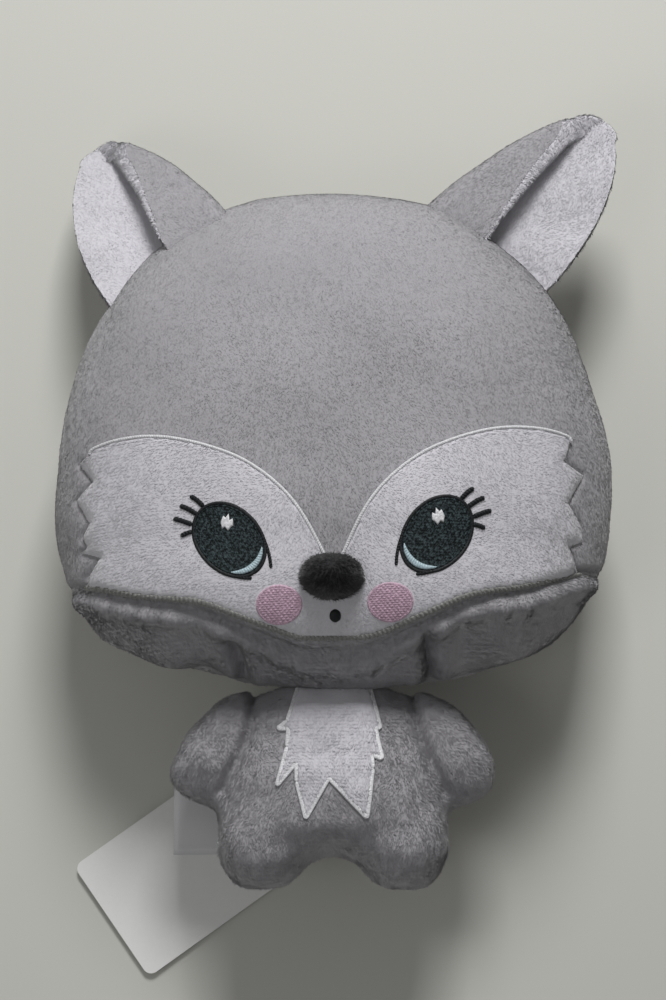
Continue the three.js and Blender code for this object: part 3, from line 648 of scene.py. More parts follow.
class Relief:
    """Height of a cover seen from above, on an even grid in millimetres"""

    STEP = 1.0
    HIGH = 200.0
    SLOPE_REACH = 1.5

    def __init__(self, obj, low, high):
        self.low = np.array(low, dtype=float)
        self.shape = np.ceil((np.array(high) - self.low) / self.STEP).astype(int) + 1
        tree = BVHTree.FromObject(obj, bpy.context.evaluated_depsgraph_get())
        self.z = np.full(self.shape, SEAM_Z)
        down = Vector((0, 0, -1))
        for i, j in np.ndindex(*self.shape):
            x, y = self.low + np.array([i, j]) * self.STEP
            hit = tree.ray_cast(Vector((x, y, self.HIGH)) * MM, down)[0]
            if hit is not None:
                self.z[i, j] = hit.z / MM

    def height(self, flat):
        place = np.clip((flat - self.low) / self.STEP, 0, self.shape - 1.001)
        i, j = place[..., 0].astype(int), place[..., 1].astype(int)
        u, v = place[..., 0] - i, place[..., 1] - j
        z = self.z
        return (z[i, j] * (1 - u) * (1 - v) + z[i + 1, j] * u * (1 - v)
                + z[i, j + 1] * (1 - u) * v + z[i + 1, j + 1] * u * v)

    def normal(self, flat):
        reach = np.array([self.SLOPE_REACH, 0.0])
        dx, dy = ((self.height(flat + r) - self.height(flat - r)) / (2 * self.SLOPE_REACH)
                  for r in (reach, reach[::-1]))
        return unit(np.stack([-dx, -dy, np.ones_like(dx)], axis=-1))

    def lift(self, flat, rise):
        """Points over flat places, raised off the cover"""
        base = np.concatenate([flat, self.height(flat)[..., None]], axis=-1)
        return base + self.normal(flat) * np.asarray(rise)[..., None]


RELIEFS = {}


def relief_of(cover, low, high):
    """The relief of a cover, measured once"""
    if cover not in RELIEFS:
        RELIEFS[cover] = Relief(bpy.data.objects[cover], low, high)
    return RELIEFS[cover]


def head_relief():
    return relief_of("head_cover", (-112, -80), (112, 40))


# Pieces

def joined(bodies):
    """Points and faces of several bodies as those of one"""
    points, faces, count = [], [], 0
    for some, loops in bodies:
        some = np.asarray(some).reshape(-1, 3)
        points.append(some)
        faces.extend([index + count for index in loop] for loop in loops)
        count += len(some)
    return np.concatenate(points), faces


def sewn(piece, slot, *nodes):
    """Hides the nodes that a piece stands for and gives the piece back; slot is not used"""
    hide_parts(*nodes)
    return piece


def stitched(name, slot, node, *bodies):
    """A piece of cloth or thread made up of several bodies, in place of a node"""
    return sewn(new_object(name, *joined(bodies), [finish_named(slot)]), slot, node)


def stuffed(name, cushion, inset, lumps, share, node, **detail):
    """The fibre fill inside a cushion, uneven and drawn inwards only"""
    fill = new_object(name, *cushion.shell(grow=-inset, **detail), [finish_named("fibre_fill")])
    points = points_of(fill)
    depth = lumps * (0.5 + 0.5 * np.tanh(waves(points, 16, 31)))
    put_points(fill, points - normals_of(fill) * depth[:, None])
    sewn(fill, "fibre_fill", node)
    return fill


def bend(pieces, parent, child, start, out, reach):
    """Bakes each piece's placement into its mesh; the bodies, joint and reach have no effect"""
    for piece in pieces:
        start * MM
        (start + out * reach) * MM
        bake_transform(piece)


STITCH_SIDES = 9
SUNK = 0.5                  # how deep stitches and cloth go into the cover
EDGE_SHARE = 0.45           # thickness at a layer's edge, and the least gap of its inner points


def stroke(line, width, height, relief, rise, pitch=0.6, closed=False, ridges=0.14):
    """A satin-stitch bar along a flat line: rounded across, with a ridge for each strand"""
    count = len(line)
    if closed:
        along = np.roll(line, -1, axis=0) - np.roll(line, 1, axis=0)
    else:
        along = np.gradient(line, axis=0)
    along /= np.linalg.norm(along, axis=1, keepdims=True)
    side = np.stack([-along[:, 1], along[:, 0]], axis=1)
    across = np.linspace(-1, 1, STITCH_SIDES)
    strand = 1 + ridges * np.cos(2 * math.pi * (run_along(line)[:, None] / pitch + 0.35 * across[None, :]))
    reach = np.broadcast_to(np.asarray(width, dtype=float), (count,))[:, None] / 2
    flat = line[:, None, :] + side[:, None, :] * (across[None, :] * reach)[..., None]
    crown = np.sqrt(np.maximum(1 - across**2, 0))[None, :]
    stand = np.minimum(height, reach * 1.2) * crown * strand
    stand[:, [0, -1]] = -SUNK
    points = relief.lift(flat, rise + stand)
    faces = []
    for i in range(count if closed else count - 1):
        a, b = i * STITCH_SIDES, ((i + 1) % count) * STITCH_SIDES
        for k in range(STITCH_SIDES):
            m = (k + 1) % STITCH_SIDES
            faces.append((a + k, b + k, b + m, a + m))
    if not closed:
        last = (count - 1) * STITCH_SIDES
        faces.append(tuple(range(STITCH_SIDES)))
        faces.append(tuple(range(last + STITCH_SIDES - 1, last - 1, -1)))
    return points, faces


def rounded(line, width):
    """Widths along a line that is round at both ends"""
    run = run_along(line)
    near = np.clip(np.minimum(run, run[-1] - run) / (width / 2), 0.03, 1)
    return width * np.sqrt(1 - (1 - near) ** 2)


def patch(outline, relief, rise, thickness, spacing, texture=None):
    """A layer of cloth or filled stitching with that outline, laid on a cover"""
    outline = np.asarray(outline)
    low, high = outline.min(axis=0), outline.max(axis=0)
    rows = np.arange(low[1], high[1], spacing * math.sqrt(0.75))
    columns = np.arange(low[0], high[0], spacing)
    grid = np.array([(x + (k % 2) * spacing / 2, y) for k, y in enumerate(rows) for x in columns])
    grid = grid[inside(outline, grid)]
    grid = grid[distance_to(np.concatenate([outline, outline[:1]]), grid) > spacing * EDGE_SHARE]
    flat = np.concatenate([outline, grid])
    edges = [(i, (i + 1) % len(outline)) for i in range(len(outline))]
    found = geometry.delaunay_2d_cdt([Vector(p) for p in flat], edges, [], 1, 1e-6)
    flat = np.array([tuple(p) for p in found[0]])
    triangles = [tuple(face) for face in found[2]]
    count = len(flat)
    pairs = dict.fromkeys(pair for a, b, c in triangles for pair in ((a, b), (b, c), (c, a)))
    border = [(a, b) for a, b in pairs if (b, a) not in pairs]
    stand = np.full(count, thickness)
    if texture is not None:
        stand += texture(flat)
    stand[list({index for pair in border for index in pair})] *= EDGE_SHARE
    under = relief.lift(flat, np.full(count, rise - SUNK))
    points = np.concatenate([relief.lift(flat, rise + stand), under])
    faces = triangles + [(c + count, b + count, a + count) for a, b, c in triangles]
    faces += [(b, a, a + count, b + count) for a, b in border]
    return points, faces


def closed_sheet(lower, upper):
    """Points and faces of a thin sheet between two grids: its cells below and above, its sides, its ends"""
    index = np.arange(lower[..., 0].size).reshape(lower.shape[:2])
    shift = index.size

    def edge(a, b):
        return np.stack([a, b, b + shift, a + shift], axis=-1)

    def in_turn(first, second):
        return np.stack([first, second], axis=1).reshape(-1, 4)

    cells = np.stack([index[:-1, :-1], index[:-1, 1:], index[1:, 1:], index[1:, :-1]], axis=-1)
    cells = cells.reshape(-1, 4)
    faces = np.concatenate([
        in_turn(cells, cells[:, ::-1] + shift),
        in_turn(edge(index[:-1, 0], index[1:, 0]), edge(index[1:, -1], index[:-1, -1])),
        in_turn(edge(index[0, 1:], index[0, :-1]), edge(index[-1, :-1], index[-1, 1:])),
    ])
    return np.concatenate([lower.reshape(-1, 3), upper.reshape(-1, 3)]), faces.tolist()


# Pile

class Coat(NamedTuple):
    """How the tufts of one surface grow"""

    density: float = 1.0        # tufts, as a share of the setting
    width: float = 1.0          # their width, as a share of the setting
    lean: float = 0.95          # radians from upright
    ruffle: float = 0.45        # how unevenly they lie
    swirl: float = 0.55         # how far the nap wanders, in radians
    stray: float = 0.0          # share of tufts that stand up


COATS = {
    "front": Coat(density=2.0, width=1.6, lean=1.36, ruffle=0.14, swirl=0.28),
    "jaw": Coat(density=1.9, width=1.1, lean=1.1, ruffle=0.3),
    "back": Coat(density=0.6, width=1.6, lean=1.1),
    "body": Coat(density=1.9, width=1.1, lean=1.0, ruffle=0.42),
    "face": Coat(density=2.3, width=1.7, lean=1.38, ruffle=0.12, swirl=0.35),
    "nose": Coat(density=1.5, width=1.2, stray=0.05),
    "ear": Coat(density=2.2, width=1.5, lean=1.34, ruffle=0.18, swirl=0.3),
    "rim": Coat(density=2.4, width=1.2, lean=1.15, ruffle=0.3),
    "bib": Coat(density=2.2, width=1.6, lean=1.28, ruffle=0.25),
}
ROW_PITCH = 1.3             # rows of knitting in the ground of the plush
ROW_PULL = 0.6              # how far a root moves towards its row
ROW_LEVEL = 0.35            # how far cloth has to face upwards to show its rows
SWIRL_WAVE, RUFFLE_WAVE, TILT_WAVE, KNIT_WAVE = 30, 5.5, 4.5, 9     # lengths over which tufts go together
LEAST_TILT, MOST_TILT, STRAY_TILT = 0.1, 1.45, 0.5
ROOT_DEPTH = 0.04
FLOOR_GAP = 0.05            # lowest point of the pile over the floor
PIECE_TUFTS = 45000         # the most tufts in one piece
BLADE = ((0, 1, 3), (1, 2, 3), (2, 0, 3), (0, 2, 1))


def unit(vectors):
    return vectors / np.maximum(np.linalg.norm(vectors, axis=-1, keepdims=True), 1e-9)


def shaped_faces(obj, tag):
    """Corner points, corner normals and areas of the triangles with that material number"""
    mesh = obj.data
    mesh.calc_loop_triangles()
    corners = np.empty(len(mesh.loop_triangles) * 3, dtype=np.int32)
    mesh.loop_triangles.foreach_get("vertices", corners)
    tags = np.empty(len(mesh.loop_triangles), dtype=np.int32)
    mesh.loop_triangles.foreach_get("material_index", tags)
    corners = corners.reshape(-1, 3)[tags == tag]
    places = points_of(obj)
    points = places[corners]
    facing = np.cross(points[:, 1] - points[:, 0], points[:, 2] - points[:, 0])
    normals = np.zeros_like(places)
    for corner in range(3):
        np.add.at(normals, corners[:, corner], facing)
    return points, unit(normals)[corners], np.linalg.norm(facing, axis=1) / 2


def drawn_to_rows(roots, normals, strength):
    """Roots moved on the cloth towards the rows of its knitting, which run across the toy"""
    level = np.where(normals[:, 2] > ROW_LEVEL, strength, 0.0)
    shift = (np.round(roots[:, 1] / ROW_PITCH) * ROW_PITCH - roots[:, 1]) * ROW_PULL * level
    slope = -normals[:, 1] / np.maximum(normals[:, 2], ROW_LEVEL)
    return roots + np.stack([0 * shift, shift, slope * shift], axis=1)


def at(points, value):
    """A value at points, from a function of them or the same for all"""
    return value(points) if callable(value) else value


def pile(name, cover, slot, seed, length, lay, coat, where=None, rows=0.0, tag=0):
    """The tufts of a cover: each a closed flat blade that leans along the nap.

    lay is the nap's direction and rows how far the knitting shows, from 0 to 1: each is a value or a
    function of points. where says at which points and normals pile grows, and tag on which faces, by their
    material number.
    """
    settings = bpy.context.scene.wolf_pile
    rng = np.random.default_rng(seed)
    corners, corner_normals, area = shaped_faces(cover, tag)
    count = int(area.sum() * settings.density * coat.density)
    chosen = rng.choice(len(area), size=count, p=area / area.sum())
    share = rng.random((count, 2))
    over = share.sum(axis=1) > 1
    share[over] = 1 - share[over]
    weights = np.column_stack([1 - share.sum(axis=1), share])[..., None]
    roots = (corners[chosen] * weights).sum(axis=1)
    normals = unit((corner_normals[chosen] * weights).sum(axis=1))
    if where is not None:
        kept = rng.random(count) < where(roots, normals)
        roots, normals = roots[kept], normals[kept]
        count = len(roots)
    knit = np.broadcast_to(at(roots, rows), count)
    roots = drawn_to_rows(roots, normals, knit)
    nap = at(roots, lay)
    nap = unit(nap - (nap * normals).sum(axis=1, keepdims=True) * normals)
    turn = coat.swirl * waves(roots, SWIRL_WAVE, seed + 1)
    turn += 1.1 * coat.ruffle * waves(roots, RUFFLE_WAVE, seed + 2)
    turn += coat.ruffle * rng.normal(size=count) * 0.7
    flow = nap * np.cos(turn)[:, None] + np.cross(normals, nap) * np.sin(turn)[:, None]
    tilt = coat.lean + 0.35 * np.clip(nap[:, 2], 0, 1)
    tilt += 0.3 * coat.ruffle * waves(roots, TILT_WAVE, seed + 3) + 0.12 * rng.normal(size=count)
    row = np.cos(math.pi * roots[:, 1] / (4 * ROW_PITCH))
    tilt -= 0.14 * knit * row * waves(roots, KNIT_WAVE, seed + 4)
    tilt = np.clip(tilt, LEAST_TILT, MOST_TILT) * np.where(rng.random(count) < coat.stray, STRAY_TILT, 1.0)
    point_to = normals * np.cos(tilt)[:, None] + flow * np.sin(tilt)[:, None]
    side = np.cross(normals, flow)
    reach = length * (0.8 + 0.25 * rng.normal(size=count).clip(-1.5, 1.5))[:, None]
    half = settings.width / MM * coat.width / 2 * (0.8 + 0.4 * rng.random((count, 1)))
    sunk = roots - ROOT_DEPTH * normals
    spikes = np.stack([
        sunk + side * half, sunk - side * half, sunk - normals * half, sunk + point_to * reach
    ], axis=1)
    spikes[..., 2] = np.maximum(spikes[..., 2], FLOOR_GAP)
    shading = unit(np.stack([
        normals + 0.25 * side, normals - 0.25 * side, normals, normals + 0.15 * flow
    ], axis=1))
    tones = rng.choice(len(TONE_SHARES), size=count, p=TONE_SHARES)
    parts = math.ceil(count / PIECE_TUFTS)
    if parts == 1:
        return [tufts(name, slot, spikes, shading, tones)]
    order = np.argsort(roots[:, 0])
    return [
        tufts(f"{name}_{part + 1}", slot, spikes[chosen], shading[chosen], tones[chosen])
        for part, chosen in enumerate(np.array_split(order, parts))
    ]


def tufts(name, slot, spikes, shading, tones):
    """A mesh of the given blades"""
    first = 4 * np.arange(len(spikes))[:, None]
    faces = np.concatenate([first + np.array(face) for face in BLADE])
    mesh = bpy.data.meshes.new(name)
    mesh.vertices.add(4 * len(spikes))
    mesh.vertices.foreach_set("co", (spikes.reshape(-1, 3) * MM).astype(np.float32).ravel())
    mesh.loops.add(3 * len(faces))
    mesh.loops.foreach_set("vertex_index", faces.astype(np.int32).ravel())
    mesh.polygons.add(len(faces))
    mesh.polygons.foreach_set("loop_start", np.arange(0, 3 * len(faces), 3, dtype=np.int32))
    dressed(mesh, tuft_tones(slot), np.tile(tones, len(BLADE)))
    mesh.update(calc_edges=True)
    mesh.normals_split_custom_set_from_vertices(shading.reshape(-1, 3).tolist())
    obj = linked(name, mesh)
    return obj


def faces_up(points, normals):
    """Where cloth that is laid on a cover shows"""
    return normals[:, 2] > 0


def one_side(obj):
    """Area of one side of a thin piece, in square metres"""
    return sum(face.area for face in obj.data.polygons) / 2


def laid_flat(piece, outline):
    """Works out how much larger than its outline an applique is, because it lies on a dome, and keeps nothing
    """
    ends = np.roll(outline, -1, axis=0)
    plan = abs((outline[:, 0] * ends[:, 1] - ends[:, 0] * outline[:, 1]).sum()) / 2 * MM * MM
    grown = math.sqrt(one_side(piece) / plan)
    one_side(piece)


# The face's lines, seen from above, in millimetres

def on_face(points, side=1):
    """Mirrors points to one side of the face and tilts them with it"""
    points = np.asarray(points, dtype=float) * np.array([side, 1.0]) - FACE_PIVOT
    cos, sin = math.cos(FACE_TILT), math.sin(FACE_TILT)
    return points @ np.array([[cos, sin], [-sin, cos]]) + FACE_PIVOT


# Half of the seam under the face, as shares of the head's half width and of its rise
CHIN_LINE = ((0.12, 0.02), (0.22, 0.14), (0.32, 0.28), (0.46, 0.48), (0.65, 0.62), (0.85, 0.86), (1, 1))
# A brow from its outer end to the nose, as shares of the face's half width and of the brow's rise or drop
BROW_LINE = ((0.98, 0.84), (0.96, 0.94), (0.86, 1.02), (0.73, 0.99), (0.6, 0.83), (0.42, 0.45), (0.3, 0.05),
             (0.19, -0.25), (0.11, -0.56), (0.03, -1))
TORN_LEFT = ((-94.6, 9.2), (-89, 0.5), (-95.4, -4.8), (-89.9, -14.7), (-92.7, -18.9), (-91, -23.4),
             (-93.1, -24.6), (-85.4, -28.1), (-89.6, -33.6))
TORN_RIGHT = ((90.3, -31.7), (87, -23.6), (92.7, -20.7), (91.5, -14.4), (86.8, -7.9), (93.2, 4.2),
              (85.6, 7.6))
FACE_SHARE = 0.85           # the face's half width as a share of the head's
FACE_STEP, FACE_MESH = 1.2, 1.3
FACE_RISE, FACE_THICK = 0.3, 1.1
STITCH_RISE = 1.0           # embroidery off the head's cover


def chin_seam(reach=1.0):
    """The seam under the face, to a share of the head's half width at each side"""
    lowest = -HEAD_JAW + CHIN_DEPTH
    half = [(HEAD.half_width * out, lowest + CHIN_RISE * up) for out, up in CHIN_LINE if out <= reach]
    line = [(-x, y) for x, y in reversed(half)] + [(0, lowest)] + half
    return curve_through(on_face(line), 0.5)


def below_chin(points):
    """Whether points lie under the seam of the chin, seen from above"""
    seam = chin_seam()
    return points[:, 1] < np.interp(points[:, 0], seam[:, 0], seam[:, 1])


def brow_line(side):
    line = [(FACE_HALF_WIDTH * out, up * (BROW_RISE if up > 0 else BROW_DROP)) for out, up in BROW_LINE]
    return curve_through(on_face(line, side), 0.3)


def face_outline():
    lines = (chin_seam(FACE_SHARE), brow_line(1), brow_line(-1))
    seam, right, left = (even_steps(line, FACE_STEP) for line in lines)
    return np.concatenate([seam, TORN_RIGHT, right, left[::-1], TORN_LEFT])


def ellipse(half_width, half_height, steps=48):
    angle = np.linspace(0, 2 * math.pi, steps, endpoint=False)
    return half_width * np.cos(angle), half_height * np.sin(angle)


def disc(x, y, half_width, half_height, side=1, steps=48):
    across, along = ellipse(half_width, half_height, steps)
    return on_face(np.stack([x + across, y + along], axis=1), side)


def cheek_outline(side, inset):
    low = CHEEK_DROP + CHEEK_LOWER
    return disc(CHEEK_OFFSET, -low, CHEEK_HALF_WIDTH - inset, CHEEK_HALF_HEIGHT - inset, side)


def in_eye(x, y, side):
    """Points about the middle of an upright eye, in their place on the face"""
    cos, sin = math.cos(EYE_LEAN), math.sin(EYE_LEAN)
    return eye_points(np.stack([x * cos + y * sin, y * cos - x * sin], axis=1), side)


def eye_points(points, side):
    return on_face(np.asarray(points) + np.array([EYE_OFFSET, -EYE_DROP]), side)


def oval(side, inset):
    """The eye's outline, drawn in by inset"""
    return in_eye(*ellipse(EYE_HALF_WIDTH - inset, EYE_HALF_HEIGHT - inset, 72), side)


def ring_of(outline):
    """A closed outline with points close enough for stitches"""
    return even_steps(np.concatenate([outline, outline[:1]]), 0.25)[:-1]


# Head

# Ridges and grooves have a push, a distance from their line and a reach; mounds a push, a middle and reaches
HEAD_INSET = 1.2            # the cover inside the solids, before it is filled
MUZZLE = 6.5                # how much fuller the lower face is than the dome
MUZZLE_START, MUZZLE_LENGTH, MUZZLE_END = 22, 30, 6
CHIN_GROOVE, CHIN_ROLL = (-2.8, 0, 1.7), (1.3, 4.5, 2.6)
PUCKERS, PUCKER_LENGTH = (0.5, 4, 6), 11
TORN_GROOVE, EDGE_GROOVE = (-1.2, 0, 1.6), (-1.0, 0, 1.6)
PLEAT_ROLL, PLEAT_GROOVE = (1.5, 6, 4), (-4.6, 0, 2.0)
PLEATS = (
    ((-37.2, -58.8), (-35.6, -63.4), (-33.6, -68), (-32, -76)),
    ((33.8, -55.6), (35.2, -62.8), (37, -70.3), (38.5, -78)),
)
LOBES = ((3.0, (-64, -60), (17, 17)), (3.0, (66, -58), (17, 17)))
JOWLS = ((2.5, (-90, -53), (12, 12)), (-5, (-48, -72), (9, 9)))
CHIN = (4.0, (2, -70), (27, 9))
UNEVEN = ((0.7, 48, 11), (0.05, 12, 12))     # height, length and seed of the waves of a stuffed head


def head_shaping(points, normals):
    """Seams and pleats drawn in, the chin and jowls pushed out, and the unevenness of a stuffed head"""
    flat, z = points[:, :2], points[:, 2]
    front = np.clip((z - SEAM_Z) / 8, 0, 1)
    gap = distance_to(chin_seam(), flat)
    below = below_chin(flat)
    fuller = np.clip((-points[:, 1] - MUZZLE_START) / MUZZLE_LENGTH, 0, 1)
    depth = MUZZLE * fuller**2 * (3 - 2 * fuller) * np.where(below, bell(gap, MUZZLE_END), 1)
    depth += ridge(gap, *CHIN_GROOVE) + ridge(gap, *CHIN_ROLL) * below
    puckers = np.sin(2 * math.pi * flat[:, 0] / PUCKER_LENGTH + 2 * waves(flat, 40, 13))
    depth += puckers * ridge(gap, *PUCKERS) * below
    for line in (TORN_LEFT, TORN_RIGHT):
        depth += ridge(distance_to(np.array(line), flat), *TORN_GROOVE)
    for line in PLEATS:
        away = distance_to(np.array(line), flat)
        depth += (ridge(away, *PLEAT_ROLL) + ridge(away, *PLEAT_GROOVE)) * below
    depth += sum(mound(points, *lobe) for lobe in LOBES) * below + mound(points, *CHIN)
    depth *= front
    depth += sum(mound(points, *jowl) for jowl in JOWLS) * np.clip((z - SEAM_Z + 16) / 10, 0, 1)
    depth += ridge(z - SEAM_Z, *EDGE_GROOVE) + sum(high * waves(points, *wave) for high, *wave in UNEVEN)
    depth *= np.clip(z / 6, 0, 1)
    return points + normals * depth[:, None]


class WOLF_OT_head(bpy.types.Operator):
    """Stuffs the head's cover: front panel, chin gusset and back panel, with its fill and its pile"""

    bl_idname = "wolf.head"
    bl_label = "Head"

    def execute(self, context):
        cover = new_object("head_cover", *HEAD.shell(grow=-HEAD_INSET), [finish_named("grey_plush")])
        remesh(cover, context.scene.wolf_stuffing.mesh)
        points = over_floor(points_of(cover))
        put_points(cover, points)
        seam = np.abs(points[:, 2] - SEAM_Z) < 2.5
        chin = (distance_to(chin_seam(), points[:, :2]) < 2.4) & (points[:, 2] > SEAM_Z)
        rests = points[:, 2] < 1
        swell(cover, seam | chin | rests)
        change(cover, "SUBSURF", levels=2)
        put_points(cover, over_floor(head_shaping(points_of(cover), normals_of(cover))))
        sewn(cover, "grey_plush", "head_front_panel", "chin_gusset", "head_back_panel")
        fill = stuffed("head_fill", HEAD, 6, 3.0, HEAD_FILL, "head_stuffing")
        for piece in (cover, fill, *self.grow_pile(context.scene.wolf_pile, cover)):
            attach(piece, "head")
        return {"FINISHED"}

    @staticmethod
    def grow_pile(settings, cover):
        face = face_outline()

        def brushed(points, normals):
            return (points[:, 2] > SEAM_Z) & ~below_chin(points) & ~inside(face, points)

        def jaw(points, normals):
            return (points[:, 2] > SEAM_Z) & below_chin(points)

        def behind(points, normals):
            return (points[:, 2] <= SEAM_Z) & (points[:, 2] > 1.5)

        coats = (
            ("front", 21, settings.short, (0.15, -1, 0), brushed, 0.0),
            ("jaw", 22, settings.length, (0.35, -1, 0.2), jaw, 0.4),
            ("back", 23, settings.length, (0, -1, 0), behind, 0.0),
        )
        for name, seed, long, lay, where, rows in coats:
            yield from pile(f"head_pile_{name}", cover, "grey_plush", seed, long / MM, lay, COATS[name],
                            where, rows)


# Body and limbs

ARM_CREASE = ((29.6, -75), (31.4, -90), (35.3, -100), (41.5, -112))
CREASE_GROOVE, BODY_EDGE_GROOVE = (-2.3, 0, 2.2), (-0.8, 0, 1.4)
CROTCH = (-3.5, (0, -140), (9, 9))           # how the body is drawn in between the legs
ARMPIT = -118


def hinge(limb):
    """A point of a limb's seam and the way out from the body there"""
    if limb.startswith("arm"):
        turn, side = math.radians(ARM_TURN), SIDES[limb.split("_")[1]]
        return pivot_of(f"{limb}_swing"), np.array([side * math.cos(turn), math.sin(turn), 0.0])
    return pivot_of(f"{limb}_bend") + TO_FEET * HIP_DROP, TO_FEET


def limb_masks(centres):
    """Which faces belong to which limb, from the places of their middles"""
    masks = {}
    for name, side in SIDES.items():
        for limb, near in (("arm", (centres[:, 1] > ARMPIT) & (centres[:, 0] * side > 0)),
                           ("leg", centres[:, 0] * side >= 0)):
            place, out = hinge(f"{limb}_{name}")
            masks[f"{limb}_{name}"] = ((centres - place) @ out > 0) & near
    arms = masks["arm_left"] | masks["arm_right"]
    for name in SIDES:
        masks[f"leg_{name}"] &= ~arms
    masks["torso"] = ~(arms | masks["leg_left"] | masks["leg_right"])
    return masks


def cut_out(name, source, mask, materials):
    """The chosen faces of a cover as a closed piece of their own; the closing faces carry no pile"""
    sheet = bmesh.new()
    sheet.from_mesh(source.data)
    sheet.faces.ensure_lookup_table()
    bmesh.ops.delete(sheet, geom=[sheet.faces[i] for i in np.flatnonzero(~mask)], context="FACES")
    rim = [edge for edge in sheet.edges if edge.is_boundary]
    for edge in rim:
        edge.smooth = False
    for face in bmesh.ops.holes_fill(sheet, edges=rim, sides=0)["faces"]:
        face.material_index = 1
    bmesh.ops.triangulate(sheet, faces=[face for face in sheet.faces if len(face.verts) > 4])
    mesh = bpy.data.meshes.new(name)
    sheet.to_mesh(mesh)
    sheet.free()
    dressed(mesh, materials)
    return linked(name, mesh)


def bend_with(pieces, name):
    """Bakes the placement of pieces of the body or a limb, from its joint"""
    if name == "torso":
        bend(pieces, "head", "torso", pivot_of("head_nod"), TO_FEET, NECK_BEND)
    else:
        bend(pieces, "torso", name, *hinge(name), LIMB_BEND)


class WOLF_OT_body(bpy.types.Operator):
    """Stuffs the body with its arms and legs in one sewn skin, then parts it at the limbs' seams"""

    bl_idname = "wolf.body"
    bl_label = "Body and limbs"

    def execute(self, context):
        cushions = limb_cushions()
        skin = self.skin(context.scene.wolf_stuffing.mesh * 0.7, cushions)
        centres = np.array([tuple(face.center) for face in skin.data.polygons]) / MM
        materials = [finish_named("grey_plush")] * 2
        long = context.scene.wolf_pile.length / MM
        for order, (name, mask) in enumerate(limb_masks(centres).items()):
            cover = cut_out(f"{name}_cover", skin, mask, materials)
            sewn(cover, "grey_plush", f"{name}_front_panel", f"{name}_back_panel")
            fill = stuffed(f"{name}_fill", cushions[name], 4, 1.5, BODY_FILL, f"{name}_stuffing", sides=32,
                           rings=8)
            coat = pile(f"{name}_pile", cover, "grey_plush", 50 + order, long, (0.2, -1, -0.1),
                        COATS["body"], self.beside_bib, 0.5)
            bend_with((cover, fill, *coat), name)
        bpy.data.objects.remove(skin)
        return {"FINISHED"}

    @staticmethod
    def skin(size, cushions):
        """The cushions in one skin, filled, with its creases"""
        bodies = (cushion.shell(grow=0.2, sides=48, rings=14) for cushion in cushions.values())
        skin = new_object("body_skin", *joined(bodies), [])
        remesh(skin, size)
        change(skin, "SMOOTH", factor=0.5, iterations=12)
        points = points_of(skin)
        swell(skin, (np.abs(points[:, 2] - SEAM_Z) < 1.5) | (points[:, 1] > -HEAD_JAW - 4))
        change(skin, "SUBSURF", levels=2)
        points, normals = points_of(skin), normals_of(skin)
        depth = 0.35 * waves(points, 14, 41) + ridge(points[:, 2] - SEAM_Z, *BODY_EDGE_GROOVE)
        depth += mound(points, *CROTCH)
        for side in SIDES.values():
            crease = np.array(ARM_CREASE) * np.array([side, 1])
            depth += ridge(distance_to(crease, points[:, :2]), *CREASE_GROOVE)
        put_points(skin, points + normals * depth[:, None])
        return skin

    @staticmethod
    def beside_bib(points, normals):
        return ~(inside(np.array(BIB), points) & (points[:, 2] > SEAM_Z))


# Face

class WOLF_OT_face(bpy.types.Operator):
    """Lays the white applique on the head, with its pile, its brow cords and the stitches along the jaw"""

    bl_idname = "wolf.face"
    bl_label = "Face"

    def execute(self, context):
        relief = head_relief()
        panel = stitched("face_applique", "white_plush", "face_panel",
                         patch(face_outline(), relief, FACE_RISE, FACE_THICK, FACE_MESH))
        covered = [oval(side, 0.4) for side in SIDES.values()]
        covered += [cheek_outline(side, 0) for side in SIDES.values()]
        covered += [disc(0, -MOUTH_DROP, MOUTH_RADIUS, MOUTH_RADIUS)]

        def where(points, normals):
            hidden = np.any([inside(outline, points) for outline in covered], axis=0)
            return faces_up(points, normals) & ~hidden

        pieces = pile("face_pile", panel, "white_plush", 71, context.scene.wolf_pile.short / MM, self.nap,
                      COATS["face"], where, self.knit)
        for name, side in SIDES.items():
            cord = stroke(brow_line(side), 1.45, 0.9, relief, FACE_RISE + 0.6, pitch=0.9, ridges=0.3)
            pieces.append(stitched(f"brow_cord_{name}", "white_thread", f"brow_stitch_{name}", cord))
        seam = even_steps(chin_seam(FACE_SHARE), 0.3)
        seam = stroke(seam, 1.9, 0.9, relief, 0.8, pitch=1.6, ridges=0.3)
        pieces.append(stitched("jaw_stitches", "grey_thread", "jaw_seam_thread", seam))
        for piece in (panel, *pieces):
            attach(piece, "head")
        laid_flat(panel, face_outline())
        return {"FINISHED"}

    @staticmethod
    def nap(points):
        """Brushed outwards from the nose and down"""
        side = np.where(points[:, 0] < 0, -1.0, 1.0) * np.clip(np.abs(points[:, 0]) / 30, 0.2, 1)
        return np.stack([side, -0.55 + 0 * side, 0 * side], axis=1)

    @staticmethod
    def knit(points):
        """Rows of knitting that show through the nap, strongest on the left"""
        return np.clip((-points[:, 0] - 5) / 25, 0.2, 1) * 0.4


# Lashes from root to tip, outwards and up from the middle of the eye, as shares of its half height
LASHES = (
    ((0.56, 0.79), (0.73, 0.96), (0.87, 1.06)),
    ((0.71, 0.62), (0.93, 0.77), (1.11, 0.86)),
    ((0.82, 0.4), (1.07, 0.51), (1.26, 0.575)),
    ((0.82, 0.25), (0.98, 0.21), (1.1, 0.16)),
)
